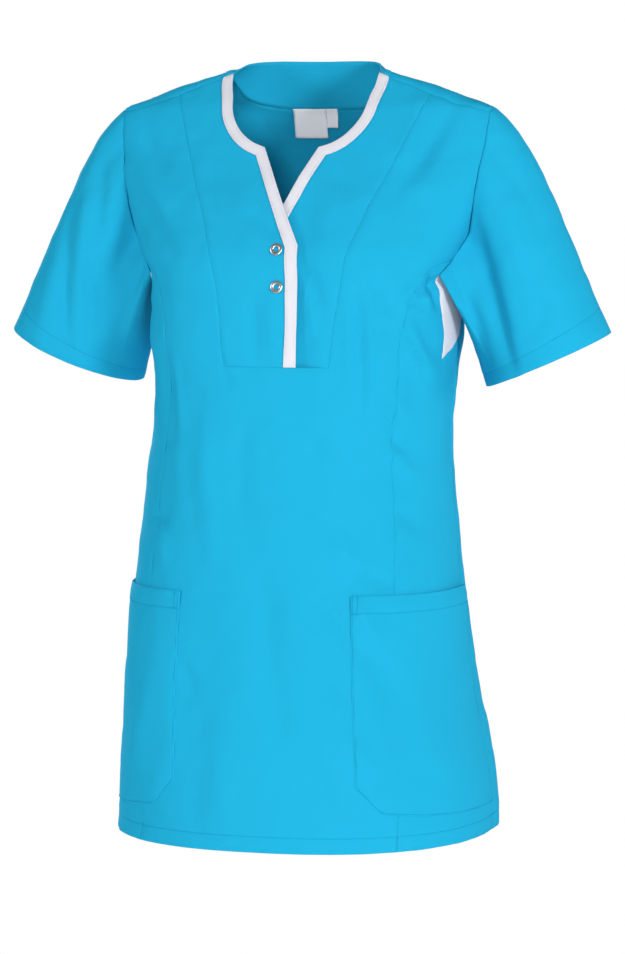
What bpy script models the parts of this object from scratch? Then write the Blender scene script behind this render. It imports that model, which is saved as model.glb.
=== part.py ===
"""Short-sleeved work tunic with a notched neck, a snap placket and two big pockets.

Every sewn piece is one closed wall of cloth.  The body pieces are cut from one
smooth body form: horizontal sections given by a short table.  The seams are
curves on that form, sampled once, so that two pieces that are sewn together use
the same points and stand a seam gap apart.  The pockets and the neck trim are
the panels' own points, moved out.

Frame: +Z up, front towards -Y, the wearer's left towards +X, origin in the
middle of the neck opening at the height of the neck points of the shoulders.
Tables and sizes are in millimetres and are turned to metres when a mesh is made.
"""
import math

import bpy
import numpy as np

MM = 0.001

# ---------------------------------------------------------------- driving sizes
CLOTH = 1.2                 # wall of one layer of twill as modelled
HEM_CLOTH = 2.2             # wall where a hem is folded up
SEAM_GAP = 0.3              # between two pieces that are sewn together
HEM_Z = -746.0              # height of the bottom edge
HEM_BAND = 15.0             # depth of the hem fold on body and sleeves
BASE_Z = -282.5             # seam under the bib
POCKET_TOP_Z = -502.0
POCKET_BAND = 17.0          # depth of the fold along the pocket mouth
POCKET_MOUTH_PROUD = 3.0    # how far the outer corner of the mouth stands out
POCKET_MOUTH_CLOTH = 0.6    # extra wall where the mouth is folded
POCKET_PROUD_DEEP = 60.0    # the mouth falls back to the panel over this height
POCKET_PROUD_TURN = (50.0, 90.0)    # angles between which it comes to stand out in full
POCKET_PROUD_INNER = 0.25   # share of that at the pocket's inner corner
TRIM_WIDTH = 12.4           # trim along the placket
NECK_TRIM = 10.8            # and along the neckline
TRIM_WIDEN = (-95.0, -175.0)    # heights between which it widens
TRIM_CLOTH = 1.2
COLLAR_CLOTH = 1.6          # the collar is two layers, pressed
COLLAR_END_CLEAR = 0.7      # the collar's ends stand this far behind the bib
COLLAR_SWELL = 1.5          # how far the band bows out between seam and edge
FRONT_EDGE = 20.9           # the front edges pass the centre line by this much
OVERLAP_DROP = 3.8          # the left front lies this far under the right one
OVERLAP_EDGE = {"x": 24.0, "z": -124.0, "width": 26.0}  # where that drop starts to fade
GUSSET_TIP = (68.5, -276.0)     # angle and height of the lowest point of a gusset
GUSSET_SIDE_Z = -255.0      # where the gusset's back edge crosses the side seam
YOKE_Z = -165.0             # level across the back that splits its mesh in two
YOKE_NECK_X = 108.0         # where on that level the columns from the neck end
HEM_TURN = 65.0             # angle at the hem of the column below a gusset's tip
POCKET_FOOT_Z = -700.0      # level at which the columns are placed along a pocket's foot
RIDGE_SLOPE = 0.30          # rise of the ridge, carried on over the neck opening
SNAP_OUTER = 6.2            # radii of a snap ring
SNAP_INNER = 2.6
SNAP_HEIGHT = 1.8
SNAP_SHOULDER = 0.6         # height of the ring's side below its rounded top
SNAP_CLEAR = 0.4            # between a ring and the cloth under it
SNAP_SIDES = 20
SNAP_Z = (-169.0, -205.0)
LABEL = {"centre": -16.0, "width": 33.5, "height": 27.5}
SIZE_TAG = {"centre": 7.2, "width": 12.0, "height": 17.5}
TAG_TOP_Z = -30.2           # upper edge of both tags, at the collar's seam
TAG_CLOTH = 1.0
TAG_DEPTH = (2.2, 8.0)     # how far inside the back a tag hangs at its top and foot

# Sections of the body form.  z: height; half: half width; front, back: depth of
# the form before and behind the side line; n_front, n_back: roundness, 2 is an
# ellipse and more is boxier; shift: the section's centre line.
SECTION_COLUMNS = ("z", "half", "front", "back", "n_front", "n_back", "shift")
SECTION_ROWS = (
    (9.0, 75.0, 5.0, 18.0, 2.0, 2.0, 0.0),
    (4.5, 84.0, 9.0, 21.0, 2.0, 2.0, 0.0),
    (-2.0, 105.0, 14.0, 26.0, 2.0, 2.0, 0.0),
    (-10.0, 133.0, 19.0, 39.0, 2.0, 2.0, 0.0),
    (-21.0, 162.0, 27.0, 52.0, 2.0, 2.0, 0.0),
    (-31.0, 190.0, 34.0, 63.0, 2.0, 2.0, 0.0),
    (-45.0, 199.0, 43.0, 71.0, 2.0, 2.0, 0.0),
    (-58.0, 201.0, 51.0, 78.0, 2.0, 2.0, 0.0),
    (-84.0, 200.0, 66.0, 88.0, 2.1, 2.0, 0.0),
    (-118.0, 188.0, 87.0, 97.0, 2.3, 2.3, 0.0),
    (-151.0, 174.2, 103.0, 103.0, 2.5, 2.5, 0.0),
    (-173.0, 164.5, 112.0, 105.0, 2.75, 2.7, 0.0),
    (-188.0, 155.0, 115.0, 106.0, 3.0, 2.8, 1.0),
    (-207.0, 152.5, 117.0, 105.0, 3.0, 2.8, 2.0),
    (-257.0, 154.0, 120.0, 99.0, 3.0, 2.7, 1.5),
    (-289.0, 150.0, 121.0, 88.0, 2.8, 2.5, 1.0),
    (-337.0, 149.5, 124.0, 73.0, 2.5, 2.4, -2.0),
    (-402.0, 155.0, 130.0, 70.0, 2.4, 2.4, -5.0),
    (-495.0, 163.0, 141.0, 88.0, 2.7, 2.5, -5.0),
    (-557.0, 169.0, 154.0, 100.0, 2.8, 2.6, -3.5),
    (-605.0, 173.0, 164.0, 108.0, 2.8, 2.7, -1.5),
    (-654.0, 179.0, 175.0, 115.0, 2.7, 2.8, 2.5),
    (-703.0, 185.0, 184.0, 122.0, 2.5, 2.8, 4.0),
    (-760.0, 189.5, 194.0, 132.0, 2.3, 2.8, 1.8),
)
SECTION = {name: np.array([row[i] for row in SECTION_ROWS])
           for i, name in enumerate(SECTION_COLUMNS)}

# Seams, as a pattern maker sees them from the front or from behind.
# Columns: x from the centre line, z.
NECKLINE = ((75.0, 2.0), (74.0, -8.0), (70.5, -20.0), (67.0, -36.0),
            (61.5, -47.0), (52.0, -58.0), (40.0, -66.0), (27.5, -70.5))
NECK_CORNER = (27.5, -70.5)
PLACKET_TOP = (-FRONT_EDGE, -165.0)
PLACKET_FOOT = (-FRONT_EDGE, BASE_Z)
SHOULDER_SEAM = ((188.0, -34.5), (164.0, -28.5), (129.0, -18.0),
                 (105.0, -8.0), (84.0, -1.0), (75.0, 2.0))
BIB_SEAM = ((129.0, -18.0), (123.0, -34.0), (117.0, -49.0), (108.0, -72.0),
            (96.0, -102.0), (82.0, -135.0), (68.0, -178.0), (61.0, -215.0),
            (57.0, -246.0), (53.0, BASE_Z))
SIDE_FRONT_SEAM = ((156.0, -181.0), (147.0, -184.5), (140.0, -190.0),
                   (134.0, -200.0), (128.0, -215.0), (122.0, -237.0),
                   (119.5, -258.0), (118.0, BASE_Z), (115.0, -340.0),
                   (116.0, -375.0), (119.5, -410.0), (124.0, -492.0),
                   (127.0, -600.0), (130.0, HEM_Z))
POCKET_INNER = ((53.0, BASE_Z), (70.0, -400.0), (86.0, POCKET_TOP_Z),
                (89.0, -590.0), (91.5, -682.0), (94.0, HEM_Z))
ARMHOLE_FRONT = ((156.0, -181.0), (163.5, -170.0), (171.5, -151.0),
                 (178.0, -118.0), (183.0, -84.0), (186.5, -58.0), (188.0, -34.5))
ARMHOLE_FRONT_FOOT = ((156.0, -181.0), (151.5, -188.0), (148.5, -194.0))
ARMHOLE_BACK_FOOT = ((149.0, -199.0), (149.5, -190.0), (154.8, -177.0),
                     (161.5, YOKE_Z))
ARMHOLE_BACK = ((161.5, YOKE_Z), (168.0, -151.0), (180.0, -118.0),
                (184.5, -84.0), (187.5, -58.0), (189.5, -42.0))
BACK_NECK = ((83.0, 2.0), (81.0, -9.0), (76.5, -19.0), (62.0, -27.0),
             (33.0, -31.0), (0.0, -31.5))
SHOULDER_TIP_X = 190.0      # x of the ridge at the shoulder tip
NECK_POINT_X = 84.0         # x of the ridge where the back neck crosses it

# Gusset edges. Columns: angle round the form from the centre front, z.
UNDERARM = ((78.0, -201.5), (90.0, -204.0), (101.0, -202.5))
GUSSET_FRONT = (GUSSET_TIP, (67.5, -255.0), (65.5, -225.0))
GUSSET_BACK = ((90.0, GUSSET_SIDE_Z), (99.0, -232.0), (107.0, -213.0))

# Bottom edge of a pocket.  Columns: x from the centre line, z.
POCKET_FOOT = ((91.5, -682.0), (116.0, -709.0), (186.0, -718.0))

# Upper edge of the collar.  Columns: x, y, z.
COLLAR_TOP = ((75.0, -6.5, 2.5), (73.0, 8.0, 7.5), (68.5, 22.0, 12.5),
              (60.0, 36.0, 14.5), (40.0, 48.0, 15.5), (0.0, 53.0, 15.0))

# Cuff of a sleeve, for the wearer's left; the right one is its mirror image.
CUFF = {"centre": (244.0, 8.0, -278.0), "out": (64.0, -10.0, 27.0),
        "front": (0.0, -52.0, -6.0)}
SLEEVE_FLARE = (0.38, 0.06, -0.92)  # direction of the cloth as it meets the cuff
SLEEVE_LEAVE = np.array([0.62, 0.0, -0.70])     # direction as it leaves the armhole
SLEEVE_CAP = 0.22           # how much further out it leaves at the shoulder
SLEEVE_SPREAD = 0.12        # how far it spreads round the armhole as it leaves
SLEEVE_OPEN = 0.06          # how far it still opens at the cuff
SLEEVE_PULL = (0.22, 0.40)  # how far the two directions carry, as shares of the length

# Large folds of the body.  Columns: side of the body, x and z of one end, x and
# z of the other end, half width, height (negative is a trough).
FOLD_COLUMNS = ("side", "x0", "z0", "x1", "z1", "half", "height")
FOLDS = (
    ("front", 160, -18, 126, -104, 9, -3.4),
    ("front", 142, -58, 94, -138, 9, -3.4),
    ("front", 122, -6, 112, -92, 9, 2.2),
    ("front", 156, -44, 138, -124, 11, 2.0),
    ("front", 88, -190, 122, -244, 8, -3.0),
    ("front", 122, -236, 146, -304, 7, 3.0),
    ("front", 120, -252, 136, -326, 8, -3.0),
    ("front", 150, -300, 146, -420, 12, 2.6),
    ("front", -172, -108, -102, -180, 10, -3.8),
    ("front", -164, -88, -120, -134, 11, 2.2),
    ("front", -124, -262, -102, -368, 8, -3.2),
    ("front", -104, -290, -90, -440, 12, 2.2),
    ("front", 60, -290, 84, -480, 22, 1.8),
    ("front", -56, -290, -80, -470, 22, 1.6),
    ("front", -34, -320, -14, -480, 13, -2.2),
    ("front", 0, -420, 8, -760, 38, 2.2),
    ("front", -8, -450, 30, -700, 13, -3.4),
    ("front", 18, -484, 62, -590, 13, 2.8),
    ("front", 84, -530, 132, -606, 10, -3.2),
    ("front", 120, -560, 142, -690, 11, -2.2),
    ("front", -62, -520, -70, -760, 26, -2.0),
    ("back", 150, -70, 60, -190, 13, 3.0),
    ("back", -150, -75, -66, -200, 13, 3.0),
    ("back", 90, -250, 110, -400, 13, 3.0),
    ("back", -84, -240, -112, -390, 13, 3.0),
    ("back", 20, -300, 34, -760, 24, 3.6),
    ("back", -26, -280, -30, -760, 26, -2.6),
    ("back", 96, -420, 112, -760, 26, 3.2),
    ("back", -92, -430, -108, -760, 26, 3.2),
)

# Folds of the sleeves.  Columns: which sleeve, then as for the body, with x on
# the wearer's left whichever sleeve it is.
SLEEVE_FOLD_COLUMNS = ("sleeve",) + FOLD_COLUMNS
SLEEVE_FOLDS = (
    ("left", "front", 176, -128, 214, -288, 8, -3.6),
    ("left", "front", 166, -150, 196, -290, 7, 2.6),
    ("left", "front", 206, -170, 230, -290, 9, 2.2),
    ("left", "front", 236, -130, 252, -260, 12, -2.0),
    ("right", "front", 239, -96, 244, -262, 7, -3.4),
    ("right", "front", 222, -96, 226, -250, 7, 2.6),
    ("right", "front", 206, -78, 208, -176, 8, -3.0),
    ("right", "front", 200, -190, 206, -290, 8, 2.0),
    ("both", "back", 232, -110, 240, -270, 10, 2.8),
    ("both", "back", 212, -120, 214, -280, 9, -2.6),
    ("both", "back", 192, -150, 194, -270, 9, 2.4),
)

SLEEVE_RISE = 0.07          # share of the sleeve over which the folds rise to full height

# How many mesh cells each stretch of a seam or panel has.
CELLS = {
    "centre": 8, "arm": 4, "side": 4, "flank": 2, "shoulder_in": 3, "neck": 7,
    "gusset_top": 4, "gusset_side": 3, "gusset_front": 5, "armhole_foot": 3,
    "armhole_back": 8, "armhole_front": 10, "front_foot": 2, "neckline": 6, "notch": 6,
    "placket": 5, "waist": 9, "pocket": 6, "above_hem": 2, "sleeve": 9,
    "collar": 3, "tag": 3,
}


# ------------------------------------------------------------ curves and tables
def table_slopes(x, y):
    """Slopes of a smooth curve through a table that never overshoots its rows."""
    step = np.diff(x)
    rise = np.diff(y) / step
    slope = np.zeros(len(x))
    slope[0], slope[-1] = rise[0], rise[-1]
    for i in range(1, len(x) - 1):
        if rise[i - 1] * rise[i] > 0:
            before = 2 * step[i] + step[i - 1]
            after = step[i] + 2 * step[i - 1]
            slope[i] = (before + after) / (before / rise[i - 1] + after / rise[i])
    return slope


def through(x, y, at):
    """Value at `at` of the smooth curve through the rows (x, y), x rising."""
    at = np.clip(at, x[0], x[-1])
    i = np.clip(np.searchsorted(x, at, side="right") - 1, 0, len(x) - 2)
    slope = table_slopes(x, y)
    step = x[i + 1] - x[i]
    t = (at - x[i]) / step
    return ((2 * t**3 - 3 * t**2 + 1) * y[i] + (t**3 - 2 * t**2 + t) * step * slope[i]
            + (3 * t**2 - 2 * t**3) * y[i + 1] + (t**3 - t**2) * step * slope[i + 1])


def section(name, z):
    """One column of the section table at height z."""
    return through(-SECTION["z"], SECTION[name], -np.asarray(z, float))


def smooth_path(points, per_span=24):
    """Dense points of a smooth curve through the given points."""
    points = np.array(points, float)
    length = np.concatenate([[0], np.cumsum(np.linalg.norm(np.diff(points, axis=0), axis=1))])
    dense = np.linspace(0, length[-1], per_span * (len(points) - 1) + 1)
    return np.stack([through(length, points[:, k], dense) for k in range(points.shape[1])], -1)


def step(t):
    """Smooth step from 0 to 1 as t goes from 0 to 1."""
    t = np.clip(t, 0.0, 1.0)
    return t * t * (3 - 2 * t)


# -------------------------------------------------------------------- body form
def angle_at(x, z, back=False):
    """Angle round the form, from the centre front, of a point at x and z."""
    share = np.clip(np.abs(x) / section("half", z), 0.0, 1.0)
    power = section("n_back" if back else "n_front", z)
    angle = np.arctan2(share, (1 - share**power)**(1 / power))
    return np.where(np.asarray(x) < 0, -1.0, 1.0) * (np.pi - angle if back else angle)


def across_at(angle, z):
    """x from the centre line of a point at this angle and height."""
    power = np.where(np.cos(angle) < 0, section("n_back", z), section("n_front", z))
    reach = (np.abs(np.sin(angle))**power + np.abs(np.cos(angle))**power)**(-1 / power)
    return section("half", z) * reach * np.sin(angle)


def form(angle, z):
    """Point of the smooth body form, before any fold."""
    behind = np.cos(angle) < 0
    power = np.where(behind, section("n_back", z), section("n_front", z))
    depth = np.where(behind, section("back", z), section("front", z))
    reach = (np.abs(np.sin(angle))**power + np.abs(np.cos(angle))**power)**(-1 / power)
    return np.stack([section("shift", z) + section("half", z) * reach * np.sin(angle),
                     -depth * reach * np.cos(angle), z], -1)


def outward(surface, angle, z):
    """Outward normal of a surface given as a function of angle and height."""
    turn, drop = 0.004, 0.4
    across = surface(angle + turn, z) - surface(angle - turn, z)
    down = surface(angle, z - drop) - surface(angle, z + drop)
    normal = np.cross(down, across)
    return normal / np.linalg.norm(normal, axis=-1, keepdims=True)


def fold_at(fold, x, z, forward):
    """Height of one fold at x and z, where the cloth faces the front by `forward`."""
    start = np.array([fold["x0"], fold["z0"]], float)
    run = np.array([fold["x1"], fold["z1"]], float) - start
    length = np.hypot(*run)
    along = ((x - start[0]) * run[0] + (z - start[1]) * run[1]) / length**2
    aside = ((x - start[0]) * run[1] - (z - start[1]) * run[0]) / length
    along = np.clip(along, 0.0, 1.0)
    facing = forward if fold["side"] == "front" else -forward
    return (fold["height"] * np.exp(-(aside / fold["half"])**2)
            * 4 * along * (1 - along) * step(facing * 3))


def fold_height(angle, z):
    """Height of the folds over the body form."""
    x = across_at(angle, z)
    return sum(fold_at(dict(zip(FOLD_COLUMNS, row)), x, z, np.cos(angle)) for row in FOLDS)


def cloth(angle, z):
    """Point of the outer face of the cloth, folds included."""
    angle, z = np.asarray(angle, float), np.asarray(z, float)
    lift = fold_height(angle, z)[..., None]
    return form(angle, z) + outward(form, angle, z) * lift


# ------------------------------------------------------- seams as angle, height
def spaced(path, count):
    """count + 1 points (angle, z) along a dense path, evenly spaced on the cloth."""
    path = np.array(path, float)
    places = cloth(path[:, 0], path[:, 1])
    length = np.concatenate([[0], np.cumsum(np.linalg.norm(np.diff(places, axis=0), axis=1))])
    even = np.linspace(0, length[-1], count + 1)
    return np.stack([np.interp(even, length, path[:, k]) for k in (0, 1)], -1)


def from_view(rows, back=False, straight=False):
    """Dense (angle, z) path from rows (x, z) seen from the front or from behind."""
    if straight:
        t = np.linspace(0, 1, 40)[:, None]
        dense = (1 - t) * np.array(rows[0], float) + t * np.array(rows[-1], float)
    else:
        dense = smooth_path(rows)
    return np.stack([angle_at(dense[:, 0], dense[:, 1], back), dense[:, 1]], -1)


def from_angles(rows):
    """Dense (angle, z) path from rows (angle in degrees, z)."""
    dense = smooth_path(rows)
    return np.stack([np.radians(dense[:, 0]), dense[:, 1]], -1)


def cut_at(path, z):
    """The two halves of a path whose z falls steadily, cut at height z."""
    angle = np.interp(-z, -path[:, 1], path[:, 0])
    point = np.array([[angle, z]])
    return (np.concatenate([path[path[:, 1] > z], point]),
            np.concatenate([point, path[path[:, 1] < z]]))


def mirrored(path):
    """The same seam on the wearer's right."""
    return path * np.array([-1.0, 1.0])


def ridge_z(x):
    """Height of the shoulder ridge over x, carried on over the neck opening."""
    top = SECTION["half"][:6]
    x = np.abs(x)
    ridge = through(top, SECTION["z"][:6], x)
    return np.where(x < top[0], SECTION["z"][0] + (top[0] - x) * RIDGE_SLOPE, ridge)


def to_roof(path):
    """(angle, z) to (x, w): w squared is the drop below the ridge, behind it w > 0."""
    x = across_at(path[..., 0], path[..., 1])
    drop = np.sqrt(np.maximum(ridge_z(x) - path[..., 1], 0.0))
    return np.stack([x, np.where(np.cos(path[..., 0]) < 0, drop, -drop)], -1)


def from_roof(path):
    """(x, w) back to (angle, z)."""
    x, w = path[..., 0], path[..., 1]
    z = ridge_z(x) - w**2
    return np.stack([np.where(w > 0, angle_at(x, z, True), angle_at(x, z)), z], -1)


def shifted(path, distance):
    """A path moved sideways over the cloth by a distance for each point."""
    moved = np.array(path, float)
    steps = 6
    for _ in range(steps):
        place = cloth(moved[:, 0], moved[:, 1])
        normal = outward(form, moved[:, 0], moved[:, 1])
        before = np.diff(place, axis=0, prepend=2 * place[:1] - place[1:2])
        after = np.diff(place, axis=0, append=2 * place[-1:] - place[-2:-1])
        sides = [np.cross(part, normal) for part in (before, after)]
        sides = [side / np.linalg.norm(side, axis=1, keepdims=True) for side in sides]
        side = sides[0] + sides[1]
        side /= np.linalg.norm(side, axis=1, keepdims=True)
        side /= np.sum(side * sides[0], axis=1, keepdims=True)
        turn, drop = 0.004, 0.4
        by_angle = (cloth(moved[:, 0] + turn, moved[:, 1]) - place) / turn
        by_z = (cloth(moved[:, 0], moved[:, 1] + drop) - place) / drop
        for i in range(len(moved)):
            basis = np.stack([by_angle[i], by_z[i]], 1)
            moved[i] += np.linalg.lstsq(basis, side[i] * distance[i] / steps, rcond=None)[0]
    return moved


# ------------------------------------------------------------- patches of cells
def fill(bottom, top, left, right):
    """Grid of points between four sides; rows run upwards, columns to the right."""
    s = np.linspace(0, 1, len(bottom))[None, :, None]
    t = np.linspace(0, 1, len(left))[:, None, None]
    between = (1 - t) * bottom[None] + t * top[None] + (1 - s) * left[:, None] + s * right[:, None]
    corners = ((1 - s) * (1 - t) * bottom[0] + s * (1 - t) * bottom[-1]
               + (1 - s) * t * top[0] + s * t * top[-1])
    return between - corners


def to_view(path):
    """(angle, z) to (x, z) seen from the front."""
    return np.stack([across_at(path[..., 0], path[..., 1]), path[..., 1]], -1)


def fill_in_view(bottom, top, left, right):
    """As fill, worked out in the front view, for pieces that lie in front."""
    grid = fill(*(to_view(side) for side in (bottom, top, left, right)))
    return np.stack([angle_at(grid[..., 0], grid[..., 1]), grid[..., 1]], -1)


def other_side(grid):
    """A patch of the wearer's left, mirrored to the right."""
    return mirrored(grid)[:, ::-1]


def weld(patches):
    """One list of points and one of triangles from patches that share edges."""
    points, places, triangles = [], [], []
    for grid in patches:
        flat = grid.reshape(-1, 2)
        place = cloth(flat[:, 0], flat[:, 1])
        index = []
        for spot, here in zip(flat, place):
            near = [k for k, old in enumerate(places) if np.sum((old - here)**2) < 0.01]
            if near:
                index.append(near[0])
            else:
                index.append(len(points))
                points.append(spot)
                places.append(here)
        index = np.array(index).reshape(grid.shape[:2])
        for i in range(grid.shape[0] - 1):
            for j in range(grid.shape[1] - 1):
                a, b = index[i, j], index[i, j + 1]
                c, d = index[i + 1, j + 1], index[i + 1, j]
                if distance(places[a], places[c]) <= distance(places[b], places[d]):
                    pair = ((a, b, c), (a, c, d))
                else:
                    pair = ((a, b, d), (b, c, d))
                triangles += [t for t in pair if len(set(t)) == 3]
    return np.array(points), triangles


def distance(a, b):
    """Distance between two points, rounded so that mirrored cells agree."""
    return round(float(np.linalg.norm(a - b)), 3)


def rim_edges(triangles):
    """Directed edges that only one triangle uses."""
    edges = {(t[k], t[(k + 1) % 3]) for t in triangles for k in range(3)}
    return [edge for edge in edges if (edge[1], edge[0]) not in edges]


def drawn_in(places, normals, triangles, distance):
    """Points with the rim moved inwards over the cloth, for the seam gap."""
    ahead = dict(rim_edges(triangles))
    behind = {b: a for a, b in ahead.items()}
    moved = places.copy()
    for here, after in ahead.items():
        before = behind[here]
        inward = []
        for start, end in ((before, here), (here, after)):
            side = np.cross(normals[here], places[end] - places[start])
            inward.append(side / np.linalg.norm(side))
        middle = inward[0] + inward[1]
        middle /= np.linalg.norm(middle)
        moved[here] += middle * distance / max(0.4, float(middle @ inward[0]))
    return moved


def solid(name, outer, inner, triangles, material):
    """Closed wall between an outer and an inner copy of the same triangles."""
    count = len(outer)
    faces = [tuple(t) for t in triangles]
    faces += [(t[0] + count, t[2] + count, t[1] + count) for t in triangles]
    for a, b in rim_edges(triangles):
        faces += [(b, a, a + count), (b, a + count, b + count)]
    mesh = bpy.data.meshes.new(name)
    mesh.from_pydata([tuple(p * MM) for p in np.concatenate([outer, inner])], [],
                     [tuple(int(k) for k in face) for face in faces])
    mesh.materials.append(material)
    mesh.shade_smooth()
    mesh.set_sharp_from_angle(angle=math.radians(40))
    piece = bpy.data.objects.new(name, mesh)
    bpy.context.scene.collection.objects.link(piece)
    return piece


def panel(name, patches, material, lift=None, thickness=None):
    """A piece of cloth on the form: patches, height over the form and wall."""
    points, triangles = weld(patches)
    angle, z = points[:, 0], points[:, 1]
    normals = outward(cloth, angle, z)
    rise = np.zeros(len(z)) if lift is None else lift(angle, z)
    wall = hem_wall(z) if thickness is None else thickness(angle, z)
    outer = cloth(angle, z) + normals * rise[:, None]
    outer = drawn_in(outer, normals, triangles, SEAM_GAP / 2)
    return solid(name, outer, outer - normals * wall[:, None], triangles, material)


def hem_wall(z):
    """Thickness of a body panel: doubled along the folded hem."""
    return CLOTH + (HEM_CLOTH - CLOTH) * step((HEM_Z + HEM_BAND - z) / 4 + 0.5)


# -------------------------------------------------------------------- materials
def finish(name, colour, roughness, metallic=0.0):
    material = bpy.data.materials.new(name)
    material.use_nodes = True
    shader = material.node_tree.nodes["Principled BSDF"]
    shader.inputs["Base Color"].default_value = (*colour, 1.0)
    shader.inputs["Roughness"].default_value = roughness
    shader.inputs["Metallic"].default_value = metallic
    return material


# ----------------------------------------------------------------- seam network
def seams():
    """Every seam of the wearer's left half, as evenly spaced (angle, z) points."""
    n = CELLS
    s = {}
    shoulder = from_view(SHOULDER_SEAM)
    x = to_view(shoulder)[:, 0]
    at_bib = int(np.argmin(abs(x - BIB_SEAM[0][0])))
    at_trim = int(np.argmin(abs(x - NECK_POINT_X)))
    s["shoulder_out"] = spaced(shoulder[:at_bib + 1], n["arm"])
    s["shoulder_in"] = spaced(shoulder[at_bib:at_trim + 1], n["shoulder_in"])
    beside = n["gusset_front"] + n["front_foot"]
    rows_up = beside + n["armhole_front"]
    bib = from_view(BIB_SEAM)
    bib[0] = shoulder[at_bib]
    s["bib"] = spaced(bib, rows_up)
    edge = [spaced(from_view(NECKLINE), n["neckline"]),
            spaced(from_view((NECK_CORNER, PLACKET_TOP), straight=True), n["notch"])[1:],
            spaced(from_view((PLACKET_TOP, PLACKET_FOOT), straight=True), n["placket"])[1:]]
    s["edge"] = np.concatenate(edge)
    first, last = TRIM_WIDEN
    wide = step((s["edge"][:, 1] - first) / (last - first))
    s["trim"] = shifted(s["edge"], -NECK_TRIM - (TRIM_WIDTH - NECK_TRIM) * wide)
    s["trim"][0] = s["shoulder_in"][-1]
    s["trim"][-1, 1] = BASE_Z
    side_up, side_down = cut_at(from_view(SIDE_FRONT_SEAM), BASE_Z)
    s["side_up"] = spaced(side_up, beside)
    s["side_down_path"] = side_down
    s["armhole_front"] = spaced(from_view(ARMHOLE_FRONT), n["armhole_front"])
    foot = from_view(ARMHOLE_FRONT_FOOT)
    s["armhole_front_foot"] = spaced(foot, n["front_foot"])
    back_foot = from_view(ARMHOLE_BACK_FOOT, back=True)
    s["armhole_back_foot"] = spaced(back_foot, n["armhole_foot"])
    corners = np.degrees([foot[-1, 0], back_foot[0, 0]])
    s["underarm"] = spaced(from_angles(((corners[0], foot[-1, 1]),) + UNDERARM
                                       + ((corners[1], back_foot[0, 1]),)), n["gusset_top"])
    s["gusset_front"] = spaced(from_angles(GUSSET_FRONT + ((corners[0], foot[-1, 1]),)),
                               n["gusset_front"])
    s["gusset_flank"] = spaced(from_angles((GUSSET_TIP, GUSSET_BACK[0])), n["flank"])
    s["gusset_back"] = spaced(from_angles(GUSSET_BACK + ((corners[1], back_foot[0, 1]),)),
                              n["gusset_side"])
    tip = to_roof(s["shoulder_out"][:1])[0]
    rear = to_roof(from_view(ARMHOLE_BACK, back=True))
    over = smooth_path(((*rear[-1],), (SHOULDER_TIP_X, 0.0), (*tip,)))
    s["armhole_back"] = spaced(from_roof(np.concatenate([rear, over[1:]])), n["armhole_back"])
    start = to_roof(s["shoulder_in"][-1:])[0]
    down = to_roof(from_view(BACK_NECK, back=True)[::6])
    neck = smooth_path(np.concatenate([[start, (NECK_POINT_X, 0.0)], down]), per_span=8)
    s["neck"] = spaced(from_roof(neck), n["neck"])
    return s


def pocket_foot_z(x):
    rows = np.array(POCKET_FOOT)
    return np.interp(np.abs(x), rows[:, 0], rows[:, 1])


def lower_rows(top_z, foot_z):
    """Heights of the rows below the bib, from the hem up to top_z."""
    stops = (HEM_Z, HEM_Z + HEM_BAND, foot_z, POCKET_TOP_Z - POCKET_BAND, POCKET_TOP_Z, top_z)
    cells = (1, CELLS["above_hem"], CELLS["pocket"], 1, CELLS["waist"])
    rows = [np.array([stops[0]])]
    for low, high, count in zip(stops, stops[1:], cells):
        rows.append(np.linspace(low, high, count + 1)[1:])
    return np.concatenate(rows)


def lower_block(left, right, count, top_left, top_right):
    """Cells from the hem up, between two column lines given as functions of z.

    The top row runs straight from top_left to top_right, and one row follows the
    bottom edge of the pocket.
    """
    columns = []
    for k in range(count + 1):
        share = k / count
        top_z = (1 - share) * top_left + share * top_right
        line = lambda z, f=share: (1 - f) * left(z) + f * right(z)
        foot = pocket_foot_z(across_at(line(POCKET_FOOT_Z), POCKET_FOOT_Z))
        z = lower_rows(top_z, foot)
        columns.append(np.stack([line(z), z], -1))
    return np.stack(columns, 1)


def column_line(path):
    """Angle as a function of z along a path whose z falls steadily."""
    return lambda z: np.interp(-np.asarray(z), -path[:, 1], path[:, 0])


# --------------------------------------------------------------- pieces of cloth
def lower_patches(s):
    """The patches of the wearer's left half below the bib, and the middle one."""
    inner = column_line(from_view(POCKET_INNER))
    side = column_line(s["side_down_path"])
    tip = math.radians(GUSSET_TIP[0])
    hem_tip = math.radians(HEM_TURN)
    turn = lambda z: hem_tip + (tip - hem_tip) * (np.asarray(z) - HEM_Z) / (GUSSET_TIP[1] - HEM_Z)
    quarter = lambda z: np.full(np.shape(z), np.pi / 2)
    mirror = lambda z: -inner(z)
    return {
        "centre": lower_block(mirror, inner, CELLS["centre"], BASE_Z, BASE_Z),
        "arm": lower_block(inner, side, CELLS["arm"], BASE_Z, BASE_Z),
        "side": lower_block(side, turn, CELLS["side"], BASE_Z, GUSSET_TIP[1]),
        "flank": lower_block(turn, quarter, CELLS["flank"], GUSSET_TIP[1], GUSSET_SIDE_Z),
    }


def front_patches(s, low):
    right_side = np.concatenate([s["side_up"][::-1], s["armhole_front"][1:]])
    arm = fill_in_view(low["arm"][-1], s["shoulder_out"][::-1], s["bib"][::-1], right_side)
    return [low["centre"], low["arm"], other_side(low["arm"]), arm, other_side(arm)]


def bib_patches(s):
    """Bib of the wearer's left: the field up to the trim, and the trim's own strip."""
    foot = np.stack([s["trim"][-1], s["bib"][-1]])
    t = np.linspace(0, 1, CELLS["shoulder_in"] + 1)[:, None]
    bottom = (1 - t) * foot[0] + t * foot[1]
    field = fill_in_view(bottom, s["shoulder_in"][::-1], s["trim"][::-1], s["bib"][::-1])
    strip = np.stack([s["edge"][::-1], s["trim"][::-1]], 1)
    return field, strip


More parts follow.
